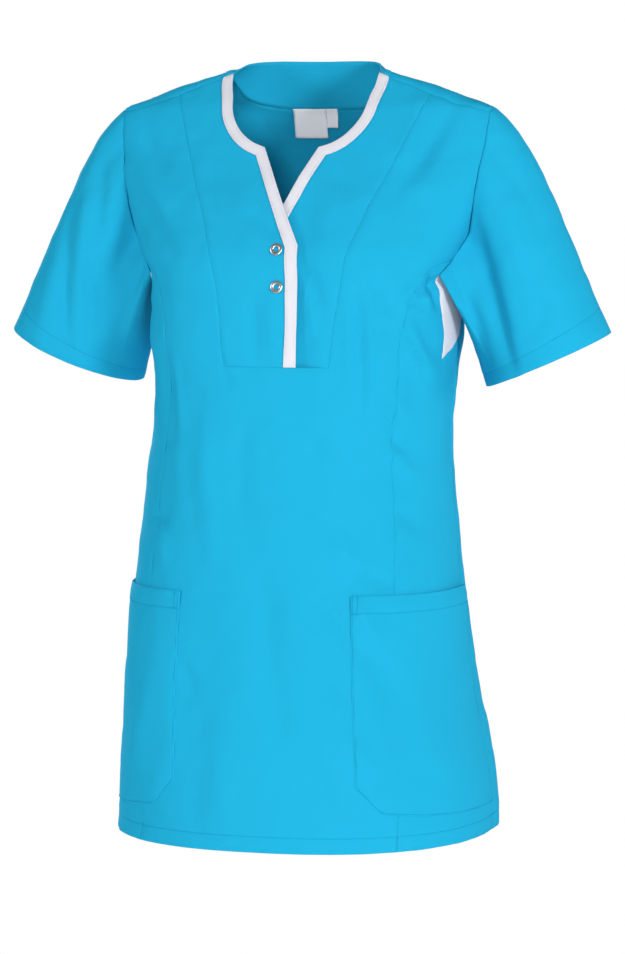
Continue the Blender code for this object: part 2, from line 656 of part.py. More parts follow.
def side_patches(s, low):
    flank = low["flank"].copy()
    flank[-1] = s["gusset_flank"]
    peak = np.repeat(s["side_up"][:1], CELLS["side"] + 1, axis=0)
    rear = np.concatenate([s["gusset_front"], s["armhole_front_foot"][::-1][1:]])
    upper = fill(low["side"][-1], peak, s["side_up"][::-1], rear)
    return [low["side"], flank, upper]


def gusset_patch(s):
    tip = np.repeat(s["gusset_front"][:1], CELLS["gusset_top"] + 1, axis=0)
    rear = np.concatenate([s["gusset_flank"], s["gusset_back"][1:]])
    return fill(tip, s["underarm"], s["gusset_front"], rear)


def even_back(z, count):
    """Points from the wearer's left side seam to the centre back, level at z."""
    turn = np.linspace(np.pi / 2, np.pi, 60)
    return spaced(np.stack([turn, np.full(len(turn), z)], -1), count)


def both_halves(half):
    """A row from the left edge to the centre back, carried on to the right edge."""
    rest = half[::-1][1:] * np.array([-1.0, 1.0]) + np.array([2 * np.pi, 0.0])
    return np.concatenate([half, rest])


def back_patches(s):
    """The back, from the wearer's left to the right: below, across and yoke."""
    count = CELLS["arm"] + CELLS["shoulder_in"] + CELLS["neck"]
    foot = pocket_foot_z(across_at(np.pi / 2, POCKET_FOOT_Z))
    rows = lower_rows(GUSSET_SIDE_Z, foot)
    low = np.stack([both_halves(even_back(z, count)) for z in rows])
    left = np.concatenate([s["gusset_back"], s["armhole_back_foot"][1:]])
    outer = CELLS["arm"] + CELLS["shoulder_in"]
    x = np.concatenate([np.linspace(ARMHOLE_BACK[0][0], YOKE_NECK_X, outer + 1),
                        np.linspace(YOKE_NECK_X, 0, CELLS["neck"] + 1)[1:]])
    yoke = np.stack([angle_at(x, np.full(len(x), YOKE_Z), True), np.full(len(x), YOKE_Z)], -1)
    yoke[0] = s["armhole_back_foot"][-1]
    yoke[-1, 0] = np.pi
    right = mirrored(left) + np.array([2 * np.pi, 0.0])
    across = fill(low[-1], both_halves(yoke), left, right)
    top = np.concatenate([s["shoulder_out"], s["shoulder_in"][1:], s["neck"][1:]])
    sides = [to_roof(part) for part in (yoke, top, s["armhole_back"])]
    middle = np.linspace(sides[0][-1], sides[1][-1], len(s["armhole_back"]))
    upper = from_roof(fill(sides[0], sides[1], sides[2], middle))
    upper[:, -1, 0] = np.pi
    wrapped = upper[:, ::-1] * np.array([-1.0, 1.0]) + np.array([2 * np.pi, 0.0])
    return [low, across, upper, wrapped]


def under_drop(angle, z):
    """How far the left front sinks to pass under the right one."""
    edge = OVERLAP_EDGE
    beside = 1 - step((across_at(angle, z) - edge["x"]) / edge["width"])
    below = 1 - step((z - edge["z"]) / edge["width"])
    return -OVERLAP_DROP * beside * below


def make_body(s, turquoise, white):
    low = lower_patches(s)
    panel("front", front_patches(s, low), turquoise)
    side = side_patches(s, low)
    panel("side_front_left", side, turquoise)
    panel("side_front_right", [other_side(grid) for grid in side], turquoise)
    panel("back", back_patches(s), turquoise)
    gusset = gusset_patch(s)
    panel("gusset_left", [gusset], white)
    panel("gusset_right", [other_side(gusset)], white)
    field, strip = bib_patches(s)
    panel("bib_left", [field, strip], turquoise, lift=under_drop)
    panel("bib_right", [other_side(field), other_side(strip)], turquoise)
    trim_wall = lambda angle, z: np.full(len(z), TRIM_CLOTH)
    on_top = lambda angle, z: np.full(len(z), SEAM_GAP + TRIM_CLOTH)
    on_left = lambda angle, z: on_top(angle, z) + under_drop(angle, z)
    panel("trim_right", [other_side(strip)], white, on_top, trim_wall)
    panel("trim_left", [strip], white, on_left, trim_wall)
    make_pockets(low, turquoise)


def make_pockets(low, material):
    """Pockets from the panels' own points, between the hem rows and the mouth."""
    first = 1 + CELLS["above_hem"]
    last = first + CELLS["pocket"] + 1
    blocks = [low[name][first:last + 1] for name in ("arm", "side", "flank")]

    def lift(angle, z):
        mouth = step((z - POCKET_TOP_Z) / POCKET_PROUD_DEEP + 1)
        first, last = POCKET_PROUD_TURN
        corner = step((np.degrees(np.abs(angle)) - first) / (last - first))
        share = POCKET_PROUD_INNER + (1 - POCKET_PROUD_INNER) * corner
        return SEAM_GAP + wall(angle, z) + POCKET_MOUTH_PROUD * mouth * share

    def wall(angle, z):
        return CLOTH + POCKET_MOUTH_CLOTH * step((z - POCKET_TOP_Z + POCKET_BAND) / 4.0 + 0.5)

    panel("pocket_left", blocks, material, lift, wall)
    panel("pocket_right", [other_side(grid) for grid in blocks], material, lift, wall)


def make_sleeve(name, s, side, material):
    """A set-in sleeve from the armhole's own points down to the cuff."""
    loop = np.concatenate([s["armhole_front"][::-1], s["armhole_front_foot"][1:],
                           s["underarm"][1:], s["armhole_back_foot"][1:],
                           s["armhole_back"][1:-1]])
    start = cloth(loop[:, 0], loop[:, 1])
    count = len(start)
    ring = np.concatenate([start, start[:1]])
    length = np.concatenate([[0], np.cumsum(np.linalg.norm(np.diff(ring, axis=0), axis=1))])
    lowest = int(np.argmin(start[:, 2]))
    turn = np.where(np.arange(count) <= lowest,
                    np.pi * length[:-1] / length[lowest],
                    np.pi * (1 + (length[:-1] - length[lowest]) / (length[-1] - length[lowest])))
    middle = start.mean(axis=0)
    spoke = start - middle
    spoke[:, 0] = 0
    spoke /= np.linalg.norm(spoke, axis=1, keepdims=True)
    leave = (SLEEVE_SPREAD * spoke + SLEEVE_LEAVE
             + SLEEVE_CAP * spoke[:, 2:] * np.array([1.0, 0, 0]))
    leave /= np.linalg.norm(leave, axis=1, keepdims=True)
    start = start + leave * SEAM_GAP / 2
    cuff = {key: np.array(value) for key, value in CUFF.items()}
    end = (cuff["centre"] + np.cos(turn)[:, None] * cuff["out"]
           + np.sin(turn)[:, None] * cuff["front"])
    open_out = (end - cuff["centre"]) / np.linalg.norm(cuff["out"])
    arrive = np.array(SLEEVE_FLARE) + SLEEVE_OPEN * open_out
    reach = np.linalg.norm(end - start, axis=1, keepdims=True)
    knots = (start, start + leave * reach * SLEEVE_PULL[0],
             end - arrive * reach * SLEEVE_PULL[1], end)
    share = sleeve_rows(reach.mean())
    rows = np.array([sum(weight * knot for weight, knot in
                         zip(((1 - t)**3, 3 * t * (1 - t)**2, 3 * t * t * (1 - t), t**3), knots))
                     for t in share])
    normals = sleeve_normals(rows)
    which = "left" if side > 0 else "right"
    rows += normals * sleeve_fold_height(which, rows, normals)[..., None]
    normals = sleeve_normals(rows)
    wall = CLOTH + (HEM_CLOTH - CLOTH) * (share > share[-2] - 1e-6)
    inner = rows - normals * wall[:, None, None]
    flip = np.array([side, 1.0, 1.0])
    index = np.arange(rows.shape[0] * count).reshape(-1, count)
    triangles = []
    for i in range(rows.shape[0] - 1):
        for j in range(count):
            a, b = index[i, j], index[i, (j + 1) % count]
            c, d = index[i + 1, (j + 1) % count], index[i + 1, j]
            pair = ((a, b, c), (a, c, d))
            triangles += [t[::-1] for t in pair] if side < 0 else list(pair)
    return solid(name, rows.reshape(-1, 3) * flip, inner.reshape(-1, 3) * flip,
                 triangles, material)


def sleeve_rows(length):
    """Shares of the sleeve's length at its rows, the last one the hem fold."""
    above = np.linspace(0, 1 - HEM_BAND / length, CELLS["sleeve"] + 1)
    return np.concatenate([above, [1.0]])


def sleeve_normals(rows):
    """Outward normals of a sleeve given as rows of points round it."""
    round_it = np.roll(rows, -1, axis=1) - np.roll(rows, 1, axis=1)
    along = np.gradient(rows, axis=0)
    normal = np.cross(round_it, along)
    return normal / np.linalg.norm(normal, axis=2, keepdims=True)


def sleeve_fold_height(which, rows, normals):
    """Height of the folds over a sleeve, as if it were on the wearer's left."""
    x, z, forward = rows[..., 0], rows[..., 2], -normals[..., 1]
    height = np.zeros(x.shape)
    for row in SLEEVE_FOLDS:
        fold = dict(zip(SLEEVE_FOLD_COLUMNS, row))
        if fold["sleeve"] in (which, "both"):
            height += fold_at(fold, x, z, forward)
    rise = step(np.arange(len(rows)) / len(rows) / SLEEVE_RISE)
    return height * rise[:, None]


def make_collar(s, material):
    """Stand band behind the neck, from the back neck seam to its free edge."""
    half = s["neck"]
    seam = cloth(half[:, 0], half[:, 1])
    top = smooth_path(COLLAR_TOP)
    length = np.concatenate([[0], np.cumsum(np.linalg.norm(np.diff(top, axis=0), axis=1))])
    even = np.linspace(0, length[-1], len(seam))
    free = np.stack([np.interp(even, length, top[:, k]) for k in range(3)], -1)
    for end in (seam[0], free[0]):
        end[1] += COLLAR_END_CLEAR
    flip = np.array([-1.0, 1.0, 1.0])
    seam = np.concatenate([seam, seam[::-1][1:] * flip])
    free = np.concatenate([free, free[::-1][1:] * flip])
    share = np.linspace(0, 1, CELLS["collar"] + 1)[:, None, None]
    rows = (1 - share) * seam[None] + share * free[None]
    across = np.gradient(rows, axis=1)
    up = np.gradient(rows, axis=0)
    normals = np.cross(across, up)
    normals /= np.linalg.norm(normals, axis=2, keepdims=True)
    rows = rows + normals * (COLLAR_SWELL * 4 * share * (1 - share))
    index = np.arange(rows.shape[0] * rows.shape[1]).reshape(rows.shape[:2])
    triangles = []
    for i in range(rows.shape[0] - 1):
        for j in range(rows.shape[1] - 1):
            a, b = index[i, j], index[i, j + 1]
            c, d = index[i + 1, j + 1], index[i + 1, j]
            triangles += [(a, b, c), (a, c, d)]
    places, flat = rows.reshape(-1, 3), normals.reshape(-1, 3)
    outer = drawn_in(places, flat, triangles, SEAM_GAP * 1.5)
    return solid("collar", outer, outer - flat * COLLAR_CLOTH, triangles, material)


def make_label(name, size, material):
    """A small woven tag that hangs inside from the back neck seam."""
    cells = CELLS["tag"]
    x = size["centre"] + size["width"] * (np.linspace(0, 1, cells + 1)[None] - 0.5)
    z = TAG_TOP_Z - size["height"] * np.linspace(1, 0, cells + 1)[:, None]
    x, z = np.broadcast_arrays(x, z)
    grid = np.stack([angle_at(x, z, True) % (2 * np.pi), z], -1)[:, ::-1]
    hang = lambda z: step((TAG_TOP_Z - z) / LABEL["height"])
    depth = lambda a, z: -(TAG_DEPTH[0] + (TAG_DEPTH[1] - TAG_DEPTH[0]) * hang(z))
    thin = lambda a, z: np.full(len(z), TAG_CLOTH)
    return panel(name, [grid], material, depth, thin)


def make_snap(name, z, material):
    """A press stud ring on the right front, on the centre line."""
    place = cloth(0.0, z)
    normal = outward(cloth, np.array(0.0), np.array(z))
    side = np.array([1.0, 0.0, 0.0])
    side -= normal * (side @ normal)
    side /= np.linalg.norm(side)
    up = np.cross(normal, side)
    middle = (SNAP_OUTER + SNAP_INNER) / 2
    half = (SNAP_OUTER - SNAP_INNER) / 2
    profile = [(middle + half, 0.0), (middle + half, SNAP_SHOULDER),
               (middle + 0.6 * half, SNAP_HEIGHT), (middle - 0.6 * half, SNAP_HEIGHT),
               (middle - half, SNAP_SHOULDER), (middle - half, 0.0)]
    points, faces = [], []
    for k in range(SNAP_SIDES):
        turn = 2 * np.pi * k / SNAP_SIDES
        spoke = side * math.cos(turn) + up * math.sin(turn)
        points += [place + spoke * r + normal * (SNAP_CLEAR + h) for r, h in profile]
    ring = len(profile)
    for k in range(SNAP_SIDES):
        after = (k + 1) % SNAP_SIDES
        for m in range(ring):
            a, b = k * ring + m, k * ring + (m + 1) % ring
            c, d = after * ring + (m + 1) % ring, after * ring + m
            faces.append((a, d, c, b))
    mesh = bpy.data.meshes.new(name)
    mesh.from_pydata([tuple(p * MM) for p in points], [], faces)
    mesh.materials.append(material)
    mesh.shade_smooth()
    mesh.set_sharp_from_angle(angle=math.radians(50))
    piece = bpy.data.objects.new(name, mesh)
    bpy.context.scene.collection.objects.link(piece)
    return piece


# ------------------------------------------------------------------------- build
for old in list(bpy.data.objects):
    bpy.data.objects.remove(old, do_unlink=True)

TURQUOISE = finish("cloth_turquoise", (0.018, 0.456, 0.745), 0.85)
WHITE = finish("cloth_white", (0.78, 0.78, 0.86), 0.85)
METAL = finish("snap_metal", (0.62, 0.60, 0.60), 0.32, 1.0)
TAG = finish("label_white", (0.86, 0.86, 0.88), 0.75)

SEAMS = seams()
make_body(SEAMS, TURQUOISE, WHITE)
make_sleeve("sleeve_left", SEAMS, 1.0, TURQUOISE)
make_sleeve("sleeve_right", SEAMS, -1.0, TURQUOISE)
make_collar(SEAMS, TURQUOISE)
make_snap("snap_upper", SNAP_Z[0], METAL)
make_snap("snap_lower", SNAP_Z[1], METAL)
make_label("label", LABEL, TAG)
make_label("size_tag", SIZE_TAG, TAG)
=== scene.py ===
"""Looks of the tunic: each sewn piece as a fine wall of cloth on its solid's form.

The tables of the body form and the seams are the ones of the solids, sampled
more finely.  Added here are the creases, the puckers along the seams, the
stitched lines with their threads, the weave, the snaps' rings and the light.
"""
import math

import bpy
import numpy as np
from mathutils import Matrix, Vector, kdtree


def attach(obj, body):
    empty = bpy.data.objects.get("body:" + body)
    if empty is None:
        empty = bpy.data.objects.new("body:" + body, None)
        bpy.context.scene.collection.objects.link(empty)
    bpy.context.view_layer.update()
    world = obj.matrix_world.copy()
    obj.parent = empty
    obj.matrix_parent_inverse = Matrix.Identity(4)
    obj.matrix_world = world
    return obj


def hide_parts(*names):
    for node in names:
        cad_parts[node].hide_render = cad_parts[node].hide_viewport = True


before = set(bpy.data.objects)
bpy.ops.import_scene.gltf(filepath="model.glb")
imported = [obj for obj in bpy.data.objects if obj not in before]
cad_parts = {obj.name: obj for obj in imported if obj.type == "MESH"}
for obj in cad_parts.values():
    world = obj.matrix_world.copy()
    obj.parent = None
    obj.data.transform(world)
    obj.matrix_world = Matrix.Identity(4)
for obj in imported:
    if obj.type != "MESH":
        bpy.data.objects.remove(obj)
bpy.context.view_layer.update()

MM = 0.001                  # metres in a millimetre, which all sizes here are in
CM = 0.1                    # centimetres in a millimetre, for the weave

# ---------------------------------------------------------------- driving sizes
CLOTH = 1.2                 # wall of one layer of twill as modelled
HEM_CLOTH = 2.2             # wall where a hem is folded up
SEAM_GAP = 0.3              # between two pieces that are sewn together
HEM_Z = -746.0              # height of the bottom edge
HEM_BAND = 15.0             # depth of the hem fold on body and sleeves
BASE_Z = -282.5             # seam under the bib
POCKET_TOP_Z = -502.0
POCKET_BAND = 17.0          # depth of the fold along the pocket mouth
POCKET_FOLD_Z = POCKET_TOP_Z - POCKET_BAND
POCKET_MOUTH_PROUD = 3.0    # how far the outer corner of the mouth stands out
POCKET_MOUTH_CLOTH = 0.6    # extra wall where the mouth is folded
POCKET_PROUD_DEEP = 60.0    # the mouth falls back to the panel over this height
POCKET_PROUD_TURN = (50.0, 90.0)    # angles between which it comes to do so
POCKET_PROUD_INNER = 0.25   # share of that at the pocket's inner corner
TRIM_WIDTH = 12.4           # trim along the placket
NECK_TRIM = 10.8            # and along the neckline
TRIM_WIDEN = (-95.0, -175.0)    # heights between which it widens
TRIM_CLOTH = 1.2
COLLAR_CLOTH = 1.6          # the collar is two layers, pressed
COLLAR_END_CLEAR = 0.7      # the collar's ends stand this far behind the bib
COLLAR_SWELL = 1.5          # how far the band bows out between seam and edge
FRONT_EDGE = 20.9           # the front edges pass the centre line by this much
OVERLAP_DROP = 3.8          # the left front lies this far under the right one
OVERLAP_EDGE = {"x": 24.0, "z": -124.0, "width": 26.0}  # where that drop starts to fade
GUSSET_TIP = (68.5, -276.0)     # angle and height of the lowest point of a gusset
GUSSET_SIDE_Z = -255.0      # where the gusset's back edge crosses the side seam
YOKE_Z = -165.0             # level across the back that splits its mesh in two
YOKE_NECK_X = 108.0         # where on that level the columns from the neck end
HEM_TURN = 65.0             # angle at the hem of the column below a gusset's tip
POCKET_FOOT_Z = -700.0      # level at which the columns are placed along a pocket's foot
RIDGE_ROWS = 6              # rows of the section table that make the shoulder ridge
RIDGE_SLOPE = 0.30          # rise of the ridge, carried on over the neck opening
SNAP_OUTER = 6.2            # radii of a snap ring
SNAP_INNER = 2.6
SNAP_CLEAR = 0.4            # between a ring and the cloth under it
SNAP_Z = (-169.0, -205.0)
LABEL = {"centre": -16.0, "width": 33.5, "height": 27.5}
SIZE_TAG = {"centre": 7.2, "width": 12.0, "height": 17.5}
TAG_TOP_Z = -30.2           # upper edge of both tags, at the collar's seam
TAG_CLOTH = 1.0
TAG_DEPTH = (2.2, 8.0)      # how far inside the back a tag hangs at its top and foot

# Sections of the body form.  z: height; half: half width; front, back: depth of
# the form before and behind the side line; n_front, n_back: roundness, 2 is an
# ellipse and more is boxier; shift: the section's centre line.
SECTION_COLUMNS = ("z", "half", "front", "back", "n_front", "n_back", "shift")
SECTION_ROWS = (
    (9, 75, 5, 18, 2, 2, 0),
    (4.5, 84, 9, 21, 2, 2, 0),
    (-2, 105, 14, 26, 2, 2, 0),
    (-10, 133, 19, 39, 2, 2, 0),
    (-21, 162, 27, 52, 2, 2, 0),
    (-31, 190, 34, 63, 2, 2, 0),
    (-45, 199, 43, 71, 2, 2, 0),
    (-58, 201, 51, 78, 2, 2, 0),
    (-84, 200, 66, 88, 2.1, 2, 0),
    (-118, 188, 87, 97, 2.3, 2.3, 0),
    (-151, 174.2, 103, 103, 2.5, 2.5, 0),
    (-173, 164.5, 112, 105, 2.75, 2.7, 0),
    (-188, 155, 115, 106, 3, 2.8, 1),
    (-207, 152.5, 117, 105, 3, 2.8, 2),
    (-257, 154, 120, 99, 3, 2.7, 1.5),
    (-289, 150, 121, 88, 2.8, 2.5, 1),
    (-337, 149.5, 124, 73, 2.5, 2.4, -2),
    (-402, 155, 130, 70, 2.4, 2.4, -5),
    (-495, 163, 141, 88, 2.7, 2.5, -5),
    (-557, 169, 154, 100, 2.8, 2.6, -3.5),
    (-605, 173, 164, 108, 2.8, 2.7, -1.5),
    (-654, 179, 175, 115, 2.7, 2.8, 2.5),
    (-703, 185, 184, 122, 2.5, 2.8, 4),
    (-760, 189.5, 194, 132, 2.3, 2.8, 1.8),
)
SECTION = {name: np.array([row[i] for row in SECTION_ROWS], float)
           for i, name in enumerate(SECTION_COLUMNS)}

# Seams, as a pattern maker sees them from the front or from behind.
# Columns: x from the centre line, z.
NECKLINE = ((75, 2), (74, -8), (70.5, -20), (67, -36), (61.5, -47), (52, -58), (40, -66),
            (27.5, -70.5))
NECK_CORNER = (27.5, -70.5)
PLACKET_TOP = (-FRONT_EDGE, -165)
PLACKET_FOOT = (-FRONT_EDGE, BASE_Z)
SHOULDER_SEAM = ((188, -34.5), (164, -28.5), (129, -18), (105, -8), (84, -1), (75, 2))
BIB_SEAM = ((129, -18), (123, -34), (117, -49), (108, -72), (96, -102), (82, -135),
            (68, -178), (61, -215), (57, -246), (53, BASE_Z))
SIDE_FRONT_SEAM = ((156, -181), (147, -184.5), (140, -190), (134, -200), (128, -215),
                   (122, -237), (119.5, -258), (118, BASE_Z), (115, -340), (116, -375),
                   (119.5, -410), (124, -492), (127, -600), (130, HEM_Z))
POCKET_INNER = ((53, BASE_Z), (70, -400), (86, POCKET_TOP_Z), (89, -590), (91.5, -682),
                (94, HEM_Z))
ARMHOLE_FRONT = ((156, -181), (163.5, -170), (171.5, -151), (178, -118), (183, -84),
                 (186.5, -58), (188, -34.5))
ARMHOLE_FRONT_FOOT = ((156, -181), (151.5, -188), (148.5, -194))
ARMHOLE_BACK_FOOT = ((149, -199), (149.5, -190), (154.8, -177), (161.5, YOKE_Z))
ARMHOLE_BACK = ((161.5, YOKE_Z), (168, -151), (180, -118), (184.5, -84), (187.5, -58),
                (189.5, -42))
BACK_NECK = ((83, 2), (81, -9), (76.5, -19), (62, -27), (33, -31), (0, -31.5))
SHOULDER_TIP_X = 190.0      # x of the ridge at the shoulder tip
NECK_POINT_X = 84.0         # x of the ridge where the back neck crosses it

# Gusset edges. Columns: angle round the form from the centre front, z.
UNDERARM = ((78, -201.5), (90, -204), (101, -202.5))
GUSSET_FRONT = (GUSSET_TIP, (67.5, -255), (65.5, -225))
GUSSET_BACK = ((90, GUSSET_SIDE_Z), (99, -232), (107, -213))

# Bottom edge of a pocket.  Columns: x from the centre line, z.
POCKET_FOOT = ((91.5, -682), (116, -709), (186, -718))

# Upper edge of the collar.  Columns: x, y, z.
COLLAR_TOP = ((75, -6.5, 2.5), (73, 8, 7.5), (68.5, 22, 12.5), (60, 36, 14.5),
              (40, 48, 15.5), (0, 53, 15))

# Cuff of a sleeve, for the wearer's left; the right one is its mirror image.
CUFF = {"centre": (244, 8, -278), "out": (64, -10, 27), "front": (0, -52, -6)}
SLEEVE_FLARE = (0.38, 0.06, -0.92)  # direction of the cloth as it meets the cuff
SLEEVE_LEAVE = (0.62, 0.0, -0.70)   # direction as it leaves the armhole
SLEEVE_CAP = 0.22           # how much further out it leaves at the shoulder
SLEEVE_SPREAD = 0.12        # how far it spreads round the armhole as it leaves
SLEEVE_OPEN = 0.06          # how far it still opens at the cuff
SLEEVE_PULL = (0.22, 0.40)  # how far the two directions carry, as shares of the length

# Large folds of the body, by side.  Columns: x and z of one end, x and z of the
# other end, half width, height (negative is a trough).
FOLDS = {
    "front": (
        (160, -18, 126, -104, 9, -3.4), (142, -58, 94, -138, 9, -3.4),
        (122, -6, 112, -92, 9, 2.2), (156, -44, 138, -124, 11, 2.0),
        (88, -190, 122, -244, 8, -3.0), (122, -236, 146, -304, 7, 3.0),
        (120, -252, 136, -326, 8, -3.0), (150, -300, 146, -420, 12, 2.6),
        (-172, -108, -102, -180, 10, -3.8), (-164, -88, -120, -134, 11, 2.2),
        (-124, -262, -102, -368, 8, -3.2), (-104, -290, -90, -440, 12, 2.2),
        (60, -290, 84, -480, 22, 1.8), (-56, -290, -80, -470, 22, 1.6),
        (-34, -320, -14, -480, 13, -2.2), (0, -420, 8, -760, 38, 2.2),
        (-8, -450, 30, -700, 13, -3.4), (18, -484, 62, -590, 13, 2.8),
        (84, -530, 132, -606, 10, -3.2), (120, -560, 142, -690, 11, -2.2),
        (-62, -520, -70, -760, 26, -2.0),
    ),
    "back": (
        (150, -70, 60, -190, 13, 3.0), (-150, -75, -66, -200, 13, 3.0),
        (90, -250, 110, -400, 13, 3.0), (-84, -240, -112, -390, 13, 3.0),
        (20, -300, 34, -760, 24, 3.6), (-26, -280, -30, -760, 26, -2.6),
        (96, -420, 112, -760, 26, 3.2), (-92, -430, -108, -760, 26, 3.2),
    ),
}

# Finer creases, in the columns of FOLDS.
CREASES = {
    "front": (
        (117, -233, 139, -297, 2.4, -4.2), (123, -232, 145, -296, 3.4, 3.5),
        (121, -214, 145, -228, 2.0, -3.1), (120, -208, 143, -221, 2.6, 2.2),
        (140, -188, 148, -234, 2.2, -3.5), (135, -190, 142, -234, 3.0, 2.4),
        (132, -213, 158, -191, 4.5, -5.9), (116, -226, 143, -182, 3.2, 3.5),
        (96, -234, 126, -274, 7.0, -3.5), (98, -292, 132, -342, 7.0, 3.5),
        (96, -316, 125, -348, 6.0, -3.1), (68, -182, 77, -330, 5.5, 2.3),
        (80, -182, 88, -350, 5.0, -3.1), (91, -204, 99, -310, 5.0, 2.7),
        (109, -345, 130, -368, 3.6, -3.5), (111, -357, 133, -388, 4.0, 3.0),
        (119, -416, 144, -446, 5.0, -2.7), (124, -372, 140, -404, 5.0, 2.4),
        (26, -172, 50, -242, 5.0, -3.4), (28, -192, 40, -266, 4.5, 2.7),
        (36, -86, 68, -116, 9.0, -2.3), (150, -30, 118, -110, 5.0, -2.2),
        (104, -100, 84, -160, 7.0, 2.4), (-168, -60, -122, -94, 9.0, -3.5),
        (-96, -96, -40, -112, 12.0, -2.4), (-36, -132, 6, -156, 5.5, -2.8),
        (-34, -146, 0, -168, 5.0, 1.8), (-24, -206, -19, -286, 6.0, -2.7),
        (-6, -206, 0, -286, 4.0, 2.2), (-112, -262, -94, -350, 4.0, 2.8),
        (-57, -279, -43, -304, 2.6, -2.2), (-136, -431, -102, -437, 6.0, -3.1),
        (-118, -436, -108, -486, 10.0, 2.8), (-72, -330, -52, -480, 9.0, 2.4),
        (30, -350, 72, -374, 10.0, -2.7), (60, -444, 98, -476, 8.0, 3.0),
        (90, -482, 128, -495, 6.0, -3.9), (58, -498, 94, -560, 6.0, -3.5),
        (84, -498, 116, -550, 7.0, 3.9), (56, -594, 94, -616, 5.0, 2.8),
        (24, -646, 76, -698, 12.0, -3.5), (74, -622, 110, -672, 7.0, 2.8),
        (142, -668, 162, -690, 6.0, -2.8), (-90, -560, -66, -600, 5.0, -3.0),
        (-120, -590, -150, -690, 12.0, 2.8), (-34, -560, -44, -740, 18.0, 2.8),
        (150, -520, 170, -660, 11.0, -3.1),
    ),
    "back": (
        (140, -150, 70, -230, 6.0, 3.1), (130, -160, 64, -238, 5.0, -2.6),
        (-136, -146, -66, -236, 6.0, 3.1), (-126, -160, -58, -244, 5.0, -2.6),
        (60, -300, -30, -322, 5.0, 2.6), (72, -316, -10, -338, 5.0, -2.3),
        (-70, -330, 10, -352, 6.0, 2.5), (130, -270, 60, -300, 5.0, 2.3),
        (120, -288, 54, -314, 5.0, -2.1), (-132, -280, -60, -310, 5.0, 2.3),
        (-122, -300, -50, -328, 5.0, -2.1), (60, -420, 70, -740, 16.0, 3.1),
        (84, -400, 92, -740, 12.0, -3.1), (-60, -400, -58, -740, 15.0, 3.1),
        (-84, -420, -80, -740, 12.0, -2.9), (0, -60, 4, -190, 26.0, 2.1),
    ),
}

# Folds and finer creases of the sleeves, by sleeve and side, in the same columns,
# with x on the wearer's left whichever sleeve it is.
SLEEVE_FOLDS = {
    ("left", "front"): (
        (176, -128, 214, -288, 8, -3.6), (166, -150, 196, -290, 7, 2.6),
        (206, -170, 230, -290, 9, 2.2), (236, -130, 252, -260, 12, -2.0),
        (198, -200, 222, -300, 6, -2.9), (176, -66, 170, -96, 3, -1.2),
        (168, -118, 184, -124, 8, -1.2), (216, -100, 226, -190, 12, 1.2),
        (166, -150, 196, -290, 7, -3.6), (168, -190, 190, -305, 9, -2.9),
    ),
    ("right", "front"): (
        (239, -96, 244, -262, 7, -3.4), (222, -96, 226, -250, 7, 2.6),
        (206, -78, 208, -176, 8, -3.0), (200, -190, 206, -290, 8, 2.0),
        (212, -170, 202, -300, 9, -3.4), (244, -190, 238, -286, 6, -3.4),
        (258, -180, 268, -286, 9, 2.1), (214, -150, 218, -250, 6, -1.3),
    ),
    ("left", "back"): (
        (246, -140, 262, -280, 7, -2.3),
    ),
    ("right", "back"): (
        (250, -150, 256, -270, 8, 2.1), (202, -130, 206, -250, 5, -1.8),
    ),
    ("both", "back"): (
        (232, -110, 240, -270, 10, 2.8), (212, -120, 214, -280, 9, -2.6),
        (192, -150, 194, -270, 9, 2.4), (222, -170, 224, -290, 5, -1.8),
    ),
}
SLEEVE_RISE = 0.07          # share of the sleeve over which they rise to full height

# How many mesh cells each stretch of a seam or panel has in the solids, and how
# many times finer it is here.
FINER = 4
CELLS = {name: FINER * count for name, count in {
    "centre": 8, "arm": 4, "side": 4, "flank": 2, "shoulder_in": 3, "neck": 7,
    "gusset_top": 4, "gusset_side": 3, "gusset_front": 5, "armhole_foot": 3,
    "armhole_back": 8, "armhole_front": 10, "front_foot": 2, "neckline": 6, "notch": 6,
    "placket": 5, "tag": 3, "collar": 3,
}.items()}
LOWER_CELLS = (2, 5, 26, 3, 40)     # hem, above it, pocket, its mouth's fold, waist
POCKET_ROWS = (sum(c + 1 for c in LOWER_CELLS[:2]), sum(c + 1 for c in LOWER_CELLS[:4]))
SLEEVE_CELLS = (44, 3)              # sleeve and its hem
TRIM_COLUMNS = (0.0, 0.08, 0.16, 0.24, 0.5, 0.76, 0.84, 0.92, 1.0)

# Sampling of the form and its lines.
TURN, DROP = 0.004, 0.4     # small steps of angle and height that give a slope
STRAIGHT_POINTS = 40        # points of a straight seam before it is spaced
BACK_POINTS = 60            # of a level line from the side to the centre back
HEM_POINTS = 1600           # of the stitched line round the hem
POCKET_POINTS = 300         # of a stitched line of a pocket
BAR_POINTS = 30             # and of the bar across its mouth's fold
SPAN_POINTS = 24            # points of a smooth line for each span of its table
NECK_THIN, NECK_SPAN = 6, 8     # the back neck line is thinned, then smoothed again
SHIFT_STEPS = 6             # a line is moved sideways in so many steps
MITRE_LEAST = 0.4           # limits how far an inset point moves at a sharp corner
FOLD_FADE = 3.0             # how fast a fold fades where the cloth turns to the side
FOLD_SOFT = 4.0             # height over which a wall thickens into its fold
GIRTH_SHARE = 1.15          # fits the girth used for the weave to the form

# Swells.  Columns: lengths across and down (a wave is 2 pi of these), height, phase.
SWELLS = ((9.0, 14.0, 0.20, 0.3), (-6.0, 9.0, 0.14, 1.9), (4.5, -7.0, 0.10, 4.1),
          (17.0, 11.0, 0.26, 2.6))
SWELL_BEND = 1.3            # how much one swell bends the next
SWELL_BACK = 190.0          # the back shows another stretch of them

# Edges, seams and stitched lines.
SAME_POINT = 0.03           # points nearer than this are one
